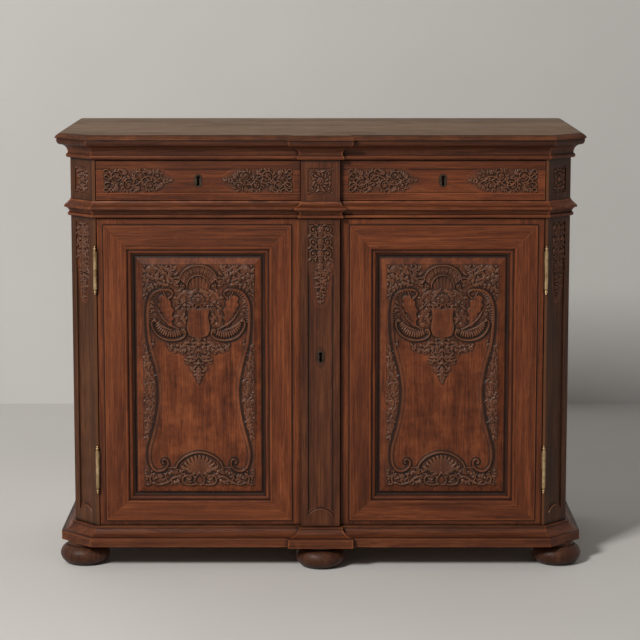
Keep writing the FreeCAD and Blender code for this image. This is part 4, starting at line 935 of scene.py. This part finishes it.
def upper_scrolls(r):
    """Acanthus and flutes in the upper scrolls, and gadroons in the lower ones."""
    r.area(ACANTHUS, 3.4, 0.9, 1.0, stain=0.12)
    # Painted shade round the acanthus, along its middle and between its lobes
    r.paint_shade_line(ACANTHUS + ACANTHUS[:1], 5.0, 0.42)
    r.paint_shade_line([(94, 700), (98, 682), (92, 660), (82, 640), (72, 618)], 3.2, 0.34)
    for (a, b), (c, d) in (((94, 676), (100, 671)), ((90, 663), (97, 655)), ((86, 650), (91, 641)),
                           ((80, 638), (85, 629)), ((90, 676), (79, 684)), ((84, 662), (71, 666)),
                           ((80, 650), (66, 652)), ((76, 638), (65, 636)), ((73, 628), (66, 622))):
        r.paint_shade_line([(a, b), (c, d)], 2.6, 0.3)
        r.leaf((a, b - 3), math.degrees(math.atan2(d - b, c - a)), 11, 6.5, -20 if c > a else 20, 4.6, dished)
    each(r.ribs,
         ([(80, 700), (96, 697), (108, 686), (115, 668), (119, 648), (121, 625)],
          [(82, 706), (102, 702), (118, 691), (126, 672), (128, 648), (128, 622)], 17, 4.6, 3.8),
         ([(50, 605), (60, 602), (68, 601), (78, 604), (87, 610), (93, 618), (97, 625)],
          [(46, 593), (56, 589), (66, 588), (84, 592), (96, 601), (103, 611), (105, 620)], 13, 6.0, 5.6))
    r.frond([(118, 680), (116, 660), (108, 642)], 4, 14, 7, 50, -30, 4.4)
    each(r.stroke,
         ([(86, 700), (80, 684), (79, 668), (70, 652)], [3, 4, 3, 1], 4.6),
         ([(99, 652), (90, 636), (76, 622), (60, 612), (48, 606)], [3, 5, 5, 3], 5.2, veined),
         ([(110, 634), (98, 620), (82, 610), (66, 604)], [3, 5, 5, 3], 4.6, veined),
         ([(36, 606), (32, 598), (36, 588), (47, 581.5), (65.6, 578.6), (86.2, 582.5), (103, 593), (113, 608),
           (116, 622), (111, 630), (105, 627)], [4.5, 5.5, 5.5, 5, 4], 7.0))
    r.curl((39, 603), 200, 6.5, 1.2, 3.2, 6.6)
    r.boss((108, 627), 3.2, 7.0)


def shield(r):
    """A blank shield with leaves beside it, and a rosette over it."""
    r.mirror = False
    r.area(SHIELD, 4.6, 0.0, 1.2, stain=0.1)
    r.flower((0, 680), 15, 9, 7.2, 10)
    r.flower((0, 680), 7.5, 6, 8.2, 30)
    # Painted shade rings round the rosette
    for radius in (8.6, 17.0):
        r.paint_shade_line(arc(680, radius, radius, 0, 2 * math.pi, 25), 3.4, 0.5)
    r.mirror = True
    r.stroke([(0, 657), (26, 660), (33, 655)], [2.4, 2.6, 2], 6.2)
    r.stroke([(26, 651), (24, 636), (27, 620), (28, 604)], 1.8, 5.6)
    r.frond([(10, 672), (22, 665), (34, 668), (42, 676)], 4, 11, 6, 50, -40, 5.0)
    each(r.curl, ((34, 655), 120, 5.5, -1.1, 2.8, 6.0), ((50, 672), 180, 7, 1.3, 3, 4.8))
    each(r.leaf,
         ((34, 648), -70, 22, 9, 30, 4.2), ((40, 640), -100, 24, 8, -30, 4.0),
         ((4, 666), -60, 12, 6, 60, 5.0), ((46, 664), -10, 16, 7, -60, 4.6), ((52, 684), 40, 14, 7, -70, 4.4))


def pendant(r):
    """Leaves and buds that hang under the shield, and the tufts beside them."""
    r.mirror = False
    each(r.frond,
         ([(0, 588), (0, 560)], 3, 17, 7.5, 140, 60, 5.6, 0.8),
         ([(0, 560), (0, 530), (0, 500)], 4, 17, 7.5, 46, -30, 5.4, 0.55),
         ([(0, 512), (0, 472)], 6, 14, 6.5, 42, -28, 4.8, 0.5))
    each(r.boss, ((0, 498), 3.2, 5.8), ((0, 570), 4.5, 6.6), ((0, 545), 3.6, 6.2), ((0, 520), 3.0, 5.6))
    r.mirror = True
    r.frond([(6, 562), (22, 556), (40, 552), (58, 554), (72, 562)], 6, 11, 5.5, 45, -35, 4.4, 0.6)
    r.frond([(112, 572), (118, 560), (122, 548)], 3, 9, 5, 45, -30, 3.8)
    each(r.leaf,
         ((8, 540), -25, 24, 8, 25, 4.6), ((8, 527), -10, 30, 6.5, 35, 4.6), ((6, 516), -60, 22, 7, 25, 4.2),
         ((20, 572), 20, 20, 8, -60, 4.6))
    each(r.boss, ((76, 567), 3.4, 5.0), ((41, 545), 2.8, 4.4), ((31, 521), 2.6, 4.4), ((113, 577), 3.0, 4.6))


def straps(r):
    """Chains of husks outside the straps, and the straps with a painted shadow line beside them."""
    for k, z in enumerate(np.linspace(560, 330, 11)):
        edge = np.interp(z, [284, 362, 449, 529, 600], [131, 116, 104, 118, 131])
        u = 0.5 * (edge + 139) + 0.5
        size = 0.55 + 0.45 * math.cos((z - 445) / 120)
        for angle, length, width, curl, height in ((-104, 20, 7, 14, 3.0), (-130, 13, 5, 25, 2.6),
                                                   (-50, 13, 5, -25, 2.6)):
            r.leaf((u, z + 6), angle, length * size, width * size, curl, height)
        if k % 4 == 1:
            r.flower((u, z + 8), 5.5 * size, 6, 3.6, 0)
    r.stroke(beside(STRAP_LINE, [0.8, 3.4, 5.4, 6.0, 6.0, 6.0, 5.6, 3.4, 0.8]),
             [4.2, 6.4, 7.6, 7.6, 7.4, 7.4, 7.4, 6.4, 4.2], [5.6, 5.2, 3.6, 2.2, 1.2, 1.2, 2.2, 4.6, 6.0],
             cushion, stain=0.12)
    # Painted shadow line beside the strap
    r.paint_shade_line(STRAP_LINE, 6.4, 0.95)
    each(r.boss, ((73, 684.5), 3.4, 6.4), ((91, 265), 3.2, 6.4))


def foot_shell(r):
    """A shell at the foot, between leaves and scrolls."""
    r.mirror = False
    r.stroke(SHELL_RIM, 5.0, 6.6)
    for a in np.linspace(-68, 68, 11):
        across, up = math.sin(math.radians(a)), math.cos(math.radians(a))
        r.stroke([(4 * across, 234 + 3 * up), (22 * across, 236 + 22 * up), (43 * across, 236 + 46 * up)],
                 [2, 6, 9.5, 8], [3.6, 4.6, 4.0], veined)
    r.mirror = True
    r.curl((57, 248), 90, 6, -1.2, 2.8, 5.4)
    r.leaf((38, 244), 60, 16, 7, 40, 4.8)
    each(r.stroke,
         ([(60, 253.5), (79, 253)], 2.6, 3.6),
         ([(4, 236), (10, 228), (12, 218), (6, 211)], [3, 4, 3], 5.2),
         ([(8, 212), (22, 209.5), (38, 213), (43, 223), (37, 232), (26, 233), (21, 226), (27, 221)],
          [2.5, 4.5, 4.5, 4, 3], 5.6),
         ([(46, 226), (56, 231), (68, 226), (80, 216), (87, 212)], [3, 5.5, 5.5, 3], 5.4, veined),
         ([(82, 240), (86, 230), (82, 220), (90, 213), (102, 210), (114, 214)], [3, 4.5, 4.5, 3], 5.2),
         ([(120, 238), (125, 226), (124, 213), (134, 210)], [3, 4.5, 4.5, 3], 5.2))
    each(r.frond,
         ([(10, 236), (24, 246), (33, 262)], 4, 12, 6, 45, -30, 5.2),
         ([(48, 240), (44, 254), (36, 266)], 3, 9, 5, 45, -30, 4.4),
         ([(26, 222), (30, 228), (38, 236)], 3, 9, 5, 45, -35, 4.8),
         ([(50, 220), (60, 215), (72, 211)], 3, 9, 5, 45, -35, 4.4),
         ([(92, 232), (104, 230), (116, 224)], 4, 10, 5.5, 48, -35, 4.4),
         ([(134, 250), (134, 236), (132, 222)], 4, 8, 4.5, 45, -30, 4.0),
         ([(64, 244), (74, 238), (88, 236)], 3, 8, 4.5, 45, -30, 4.0))
    each(r.boss, ((1, 240), 4.0, 6.4), ((120, 244), 3.0, 5.0), ((70, 219), 2.6, 4.8))


def door_carving():
    r = Relief(-139.5, 139.5, 208, 770, 1.06)
    r.mirror = True
    for part in (door_ground, hood, corner_sprays, upper_scrolls, shield, pendant, straps, foot_shell):
        part(r)
    return r


# Other carvings

# Ranges of a loose leaf: direction, length, width and bend
LOOSE_LEAF = ((0, 360), (7, 12), (3.2, 5), (-60, 60))
LOOSE_DROP_LEAF = ((0, 360), (7, 11), (3, 4.6), (-60, 60))


def whorl(r, centre, radius, start, turns, width, height, lobes, flower):
    """A scroll with leaves springing from its outer side and a flower in its eye."""
    line = spiral(centre, start, radius, turns, 0.42)
    r.stroke(line, [width, width, 0.7 * width], height)
    spin = 1 if turns > 0 else -1
    for k in range(lobes):
        share = k / lobes * min(1.0, 1 / abs(turns)) * 0.95
        point = line[int(share * (len(line) - 1))]
        heading = math.degrees(math.atan2(point[1] - centre[1], point[0] - centre[0]))
        r.leaf(point, heading + spin * 38, 0.72 * radius, 0.34 * radius, spin * 50, height * 0.85)
    r.flower(centre, 0.36 * radius, flower, height * 1.1, 12)


def spray_carving(seed):
    """Foliage of a drawer front: u runs from the keyhole outward."""
    r = Relief(58, 236, -31, 31, 0.8)
    tip = 1 if seed % 2 else -1
    r.area([(60, 2), (84, 20), (110, 30), (234, 30), (234, -30), (110, -30), (84, -20), (60, -2)], soft=3)
    stem = [(66, 0), (82, 6), (98, 2), (114, -10), (132, -8), (148, 8), (168, 12), (186, -4), (206, -12),
            (222, 0)]
    r.stroke([(u, tip * v) for u, v in stem], [1.8, 3.4, 4, 4, 4], [3.6, 4.6, 4.8])
    each(r.boss, ((65, 0), 2.4, 3.6), ((71, 3), 1.8, 3.2))
    r.leaf((70, 0), 150, 9, 4.5, 20, 3.6)
    r.frond([(88, 0), (78, 0), (68, 0)], 3, 11, 5.5, 46, -30, 4.0)
    for u, v, radius, start, turns, width, height, lobes, flower in (
            (100, -12, 13, 80, -1.5, 3.0, 4.2, 6, 5), (118, 13, 14, -110, 1.4, 3.2, 4.6, 7, 5),
            (143, -12, 16, 120, -1.5, 3.4, 4.8, 8, 6), (171, 11, 17, -100, 1.5, 3.6, 5.0, 8, 6),
            (200, -11, 17, 100, -1.5, 3.6, 5.0, 8, 6)):
        whorl(r, (u, tip * v), radius, tip * start, tip * turns, width, height, lobes, flower)
    for stem, length, width, height in (
            ([(88, 6), (94, 15), (104, 22)], 10, 5.5, 4.2),
            ([(116, -16), (122, -24), (132, -28)], 10, 5.5, 4.2),
            ([(146, 14), (150, 22), (158, 28)], 10, 5.5, 4.4),
            ([(178, -14), (182, -22), (190, -28)], 10, 5.5, 4.4),
            ([(198, 14), (206, 22), (216, 27)], 11, 6, 4.6)):
        r.frond([(u, tip * v) for u, v in stem], 4, length, width, 45, -35, height)
    for side in (1, -1):
        r.stroke([(218, side * 4), (228, side * 5), (232, side * 11), (226, side * 15), (221, side * 11)],
                 [3, 4, 4, 3], 5.2)
        r.stroke([(222, side * 19), (231, side * 19), (232, side * 26), (225, side * 28), (221, side * 24)],
                 [3, 4, 4, 3], 5.0)
        r.leaf((212, side * 18), side * 20, 14, 6.5, side * 40, 4.6)
    rng = np.random.default_rng(seed + 5)
    for _ in range(34):
        u = rng.uniform(96, 226)
        v = rng.uniform(-26, 26) * min(1, (u - 60) / 50)
        turn, length, width, bent = (rng.uniform(*ends) for ends in LOOSE_LEAF)
        r.leaf((u, v), turn, length, width, bent, 3.2)
    for _ in range(10):
        u = rng.uniform(100, 226)
        r.boss((u, rng.uniform(-25, 25) * min(1, (u - 60) / 50)), rng.uniform(1.2, 2.0), 5.2)
    return r


def patera_carving(half=32.0, rise=33.0):
    """A flower in a ring of leaves with scrolls in the corners."""
    r = Relief(-half, half, -rise, rise, 0.8)
    r.area([(-half, -rise), (half, -rise), (half, rise), (-half, rise)])
    squeeze = half / 32
    for turn in range(0, 360, 30):
        angle = math.radians(turn)
        r.leaf((11 * squeeze * math.cos(angle), 12 * math.sin(angle)), turn + 24, 12 * squeeze, 6.0 * squeeze,
               40, 4.2)
    r.flower((0, 0), 9 * squeeze, 7, 4.8, 12)
    r.boss((0, 0), 3.4, 6.4)
    for a, b in ((1, 1), (1, -1), (-1, 1), (-1, -1)):
        r.curl((a * 20.5 * squeeze, b * 20), 90 + 90 * a, 6.5 * squeeze, -1.2 * a * b, 2.8, 4.6)
        each(r.leaf,
             ((a * 22 * squeeze, b * 14), -b * 70, 14, 5, -a * b * 40, 4.0),
             ((a * 12 * squeeze, b * 24), 90 + a * 70, 13 * squeeze, 5, a * b * 40, 4.0),
             ((a * 27 * squeeze, b * 27), 90 - a * 90 + a * b * 45, 7, 4.5, 0, 4.0))
    for b in (1, -1):
        r.stroke([(-12 * squeeze, b * 27), (0, b * 22), (12 * squeeze, b * 27)], 3, 4.2)
    return r


def drop_carving(half, top, bottom, full, seed):
    """A hanging drop of leaves: full width down to one height, then a tapering chain."""
    r = Relief(-half, half, bottom - 4, top, 0.8)
    r.mirror = True
    wide = half - 1.5
    r.area([(0, top), (half, top), (half, full + 8), (0.62 * half, full - 14), (0.5 * half, full - 60),
            (0.12 * half, bottom), (0, bottom)], soft=3)
    for k in range(int((top - full) / 30)):
        z = top - 14 - 30 * k
        grow = 1 if k % 2 == 0 else -1
        r.curl((0.58 * wide, z), 90 * grow, 0.34 * wide, -1.35 * grow, 3.2, 5.0)
        each(r.leaf,
             ((0.72 * wide, z - 8), -60, 17, 6.5, 40, 4.4), ((0.25 * wide, z - 4), -50, 18, 7, -50, 4.6),
             ((0.9 * wide, z + 4), -120, 14, 5.5, 50, 4.0), ((0.14 * wide, z + 8), 50, 14, 6, -60, 4.4),
             ((0.4 * wide, z - 14), 10, 12, 5, 60, 4.0))
    r.mirror = False
    for z in np.arange(top - 6, full - 6, -30.0):
        r.flower((0, z - 8), 7.5, 7, 5.6, 10)
        r.frond([(0, z - 10), (0, z - 26)], 3, 11, 5, 50, -40, 5.0, 0.7)
    r.stroke([(0, top - 4), (0, bottom + 6)], [3, 3, 1.4], [3.6, 3.6, 3.0])
    span = full - bottom
    r.strew([(0, full + 6), (0.8 * wide, full + 6), (0.62 * wide, full - 0.35 * span),
             (0.42 * wide, full - 0.6 * span), (0, bottom + 6)], 6.0, 11, 5.0, 3.4, seed + 20)
    for number, share in enumerate(np.linspace(0.02, 0.86, 7)):
        z = full + 2 - span * share
        size = 1 - 0.5 * share
        side = 1 if number % 2 else -1
        r.leaf((side * 2, z), 90 + side * 128, 24 * size, 8.5 * size, -side * 44, 4.8)
        r.leaf((-side * 2, z - 6), 90 - side * 100, 19 * size, 7 * size, side * 50, 4.4)
        if number in (0, 2, 4):
            r.flower((side * 0.34 * wide * size, z - 9), 6.0 * size, 6, 5.6, 15)
        r.boss((-side * 0.42 * wide * size, z - 12), 2.4 * size, 5.2)
    r.leaf((0, bottom + 14), -90, 13, 5, 0, 3.6)
    rng = np.random.default_rng(seed)
    for _ in range(int((top - full) / 4)):
        u, v = rng.uniform(-0.8, 0.8) * wide, rng.uniform(full, top - 6)
        turn, length, width, bent = (rng.uniform(*ends) for ends in LOOSE_DROP_LEAF)
        r.leaf((u, v), turn, length, width, bent, 3.2)
    return r


def arch_carving(half, rise=19.0):
    """A bead along the arched foot of a sunk field; v = 0 at the springing."""
    r = Relief(-half, half, -4, rise + 5, 0.6)
    reach = (half * half + rise * rise) / (2 * rise)
    turn = math.asin((half - 1.4) / reach)
    bead = arc(rise - reach + 0.4, reach, reach, -turn, turn, 13)
    r.stroke(bead, 3.4, 5.2, stain=0.6)
    # Painted shadow beside the bead
    r.paint_shade_line([(u, v + 2.6) for u, v in bead], 4.0, 0.45)
    return r


# Placing the carvings, in metres: the middle x and the face y of a field, and middle heights

FIELD = (0.3045, -0.247)
DRAWER = (0.30275, -0.251)
FRIEZE_HEIGHT = 0.9795
CANT_CENTRE = (0.5945, -0.2225)
CANT_DEPTH = 0.004


def grid_mesh(name, use, points):
    """A mesh through the used points of a grid."""
    index = np.full(use.shape, -1)
    index[use] = np.arange(use.sum())
    cells = use[:-1, :-1] & use[1:, :-1] & use[:-1, 1:] & use[1:, 1:]
    corners = (index[:-1, :-1], index[:-1, 1:], index[1:, 1:], index[1:, :-1])
    quads = np.stack([corner[cells] for corner in corners], 1)
    mesh = bpy.data.meshes.new(name)
    mesh.vertices.add(len(points))
    mesh.vertices.foreach_set("co", points.astype(np.float32).ravel())
    mesh.loops.add(quads.size)
    mesh.loops.foreach_set("vertex_index", quads.astype(np.int32).ravel())
    mesh.polygons.add(len(quads))
    mesh.polygons.foreach_set("loop_start", np.arange(0, quads.size, 4, dtype=np.int32))
    mesh.update(calc_edges=True)
    mesh.polygons.foreach_set("use_smooth", [True] * len(quads))
    return mesh


def link_mesh(name, mesh, material):
    """An object for a mesh, in the scene."""
    mesh.materials.append(material)
    obj = bpy.data.objects.new(name, mesh)
    bpy.context.scene.collection.objects.link(obj)
    return obj


def relief_piece(name, relief, place, material, body, seed, flip=False):
    """A carved surface as a mesh; place gives the world point in metres of u, v and height in millimetres."""
    grids = surface(relief, seed)
    if flip:
        grids = [grid[:, ::-1] for grid in grids]
    h, cavity, ground, stain = grids
    u, v = np.meshgrid(-relief.u[::-1] if flip else relief.u, relief.v)
    use = ground > 0.01
    use[1:-1, 1:-1] |= use[:-2, 1:-1] | use[2:, 1:-1] | use[1:-1, :-2] | use[1:-1, 2:]
    mesh = grid_mesh(name, use, np.stack(place(u[use], v[use], h[use]), 1))
    for key, grid in (("cavity", cavity), ("stain", stain)):
        mesh.attributes.new(key, "FLOAT", "POINT").data.foreach_set("value", grid[use].astype(np.float32))
    obj = link_mesh(name, mesh, material)
    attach(obj, body)


def front_place(x0, z0, face):
    """Place of a relief on a front face."""
    return lambda u, v, h: (x0 + u / 1000, face - h / 1000, z0 + v / 1000)


def cant_place(side, z0):
    """Place of a relief on the canted corner of one side."""
    lean = math.sqrt(0.5)
    x0 = side * (CANT_CENTRE[0] - CANT_DEPTH * lean)
    y0 = CANT_CENTRE[1] + CANT_DEPTH * lean
    lean_mm = lean / 1000
    return lambda u, v, h: (x0 + (u + side * h) * lean_mm, y0 + (side * u - h) * lean_mm, z0 + v / 1000)


def make_carvings():
    sides = (("left", -1), ("right", 1))
    field = door_carving()
    for seed, (name, side) in enumerate(sides, 1):
        relief_piece(name + "_panel_carving", field, front_place(side * FIELD[0], 0, FIELD[1]), CARVED_PANEL,
                     name + "_door", seed)
    sprays = [spray_carving(seed) for seed in range(2)]
    for name, side in sides:
        place = front_place(side * DRAWER[0], FRIEZE_HEIGHT, DRAWER[1])
        for number, flip in enumerate((False, True)):
            hand = "outer" if flip == (side < 0) else "inner"
            relief_piece("%s_drawer_%s_spray" % (name, hand), sprays[(number + (side < 0)) % 2], place,
                         CARVED_DRAWER, name + "_drawer", number + 3, flip)
    relief_piece("frieze_patera", patera_carving(), front_place(0, FRIEZE_HEIGHT, PILASTER_FACE),
                 CARVED_FRIEZE, "case", 8)
    pilaster = (("drop", drop_carving(half=32, top=873, bottom=668, full=756, seed=3), 0, 9),
                ("arch", arch_carving(32.0), ARCH_FOOT, 12))
    for name, relief, z0, seed in pilaster:
        relief_piece("pilaster_" + name, relief, front_place(0, z0, PILASTER_FACE), CARVED_PILASTER,
                     "left_door", seed)
    corner = (("patera", patera_carving(25.0), FRIEZE_HEIGHT, 10),
              ("drop", drop_carving(half=25, top=873, bottom=674, full=770, seed=7), 0, 11),
              ("arch", arch_carving(25.0), ARCH_FOOT, 12))
    for hand, side in sides:
        for name, relief, z0, seed in corner:
            place = cant_place(side, z0)
            relief_piece("%s_corner_%s" % (hand, name), relief, place, CARVED_POST, "case", seed)


# Floor, light and camera, in metres

BACKGROUND = (0.50, 0.488, 0.470)
FLOOR = (0.70, 0.688, 0.670)
WALL = (0.67, 0.664, 0.650)
WARM = (1.0, 0.97, 0.93)
FADE = (2.0, 3.8)
FLOOR_HALF = 40.0
WALL_Y = 1.80
WALL_HALF = 14.0
WALL_TOP = 9.0
WORLD_STRENGTH = 0.155
CAMERA = (-0.0015, -5.630, 1.514)
PITCH = math.radians(7.65)
LENS = 122.9
SHIFT = -0.10


def paint(name, colour, one_sided=False):
    """Pale matt paint that fades into the background far off; a wall shows from its front only."""
    sh = Shader(bpy.data.materials.new(name))
    point, parts = sh.place()
    tint = sh.span(sh.noise(point, 1.3), 0.3, 0.7, 0.97, 1.03)
    sh.finish({"Base Color": sh.vector("MULTIPLY", colour, sh.join(tint, tint, tint)), "Roughness": 0.85})
    reach = sh.math("SQRT", parts[0] * parts[0] + parts[1] * parts[1])
    sh.blend(sh.span(reach, *FADE) * sh.seen(), sh.value("Emission", {"Color": BACKGROUND}))
    if one_sided:
        sh.blend(sh.value("NewGeometry", out="Backfacing"), sh.value("BsdfTransparent"))
    return sh.owner


def stage_sheet(name, rows, half, material):
    """A sheet between two (y, z) rows, from -half to half in x, facing the camera."""
    points = [(x, y, z) for y, z in rows for x in (-half, half)]
    mesh = bpy.data.meshes.new(name)
    mesh.from_pydata(points, [], [(0, 1, 3, 2)])
    obj = link_mesh(name, mesh, material)
    return obj


def make_stage():
    """A pale floor, and behind the object a pale wall that casts no shadow."""
    stage_sheet("floor", [(-FLOOR_HALF, 0.0), (FLOOR_HALF, 0.0)], FLOOR_HALF, paint("floor_paint", FLOOR))
    wall = stage_sheet("wall", [(WALL_Y, 0.0), (WALL_Y, WALL_TOP)], WALL_HALF,
                       paint("wall_paint", WALL, one_sided=True))
    wall.visible_shadow = False


def area_light(name, place, target, size, power):
    light = bpy.data.lights.new(name, "AREA")
    light.size = size
    light.energy = power
    light.color = WARM
    obj = bpy.data.objects.new(name, light)
    obj.location = place
    obj.rotation_mode = "QUATERNION"
    obj.rotation_quaternion = (Vector(target) - Vector(place)).to_track_quat("-Z", "Y")
    bpy.context.scene.collection.objects.link(obj)


def make_light():
    """A key light, a faint fill, and even light from all round behind a pale background."""
    area_light("key", (-2.94, -4.58, 3.99), (0.0, -0.1, 0.5), 1.2, 326)
    area_light("fill", (2.6, -3.8, 1.6), (0.0, 0.0, 0.5), 2.4, 2)
    world = Shader(bpy.data.worlds.new("studio"), "Background", "OutputWorld")
    world.finish({"Color": WARM, "Strength": WORLD_STRENGTH})
    world.blend(world.seen(), world.value("Background", {"Color": BACKGROUND}))
    bpy.context.scene.world = world.owner


def make_camera():
    """The photograph's view: a little above the top, from the front."""
    lens = bpy.data.cameras.new("camera")
    lens.sensor_width = 36
    lens.lens = LENS
    lens.shift_y = SHIFT
    lens.clip_end = 60
    obj = bpy.data.objects.new("camera", lens)
    obj.location = CAMERA
    obj.rotation_mode = "XYZ"
    obj.rotation_euler = (math.pi / 2 - PITCH, 0, 0)
    bpy.context.scene.collection.objects.link(obj)
    bpy.context.scene.camera = obj


make_carvings()
make_stage()
make_light()
make_camera()
bpy.context.scene.view_settings.view_transform = "Standard"
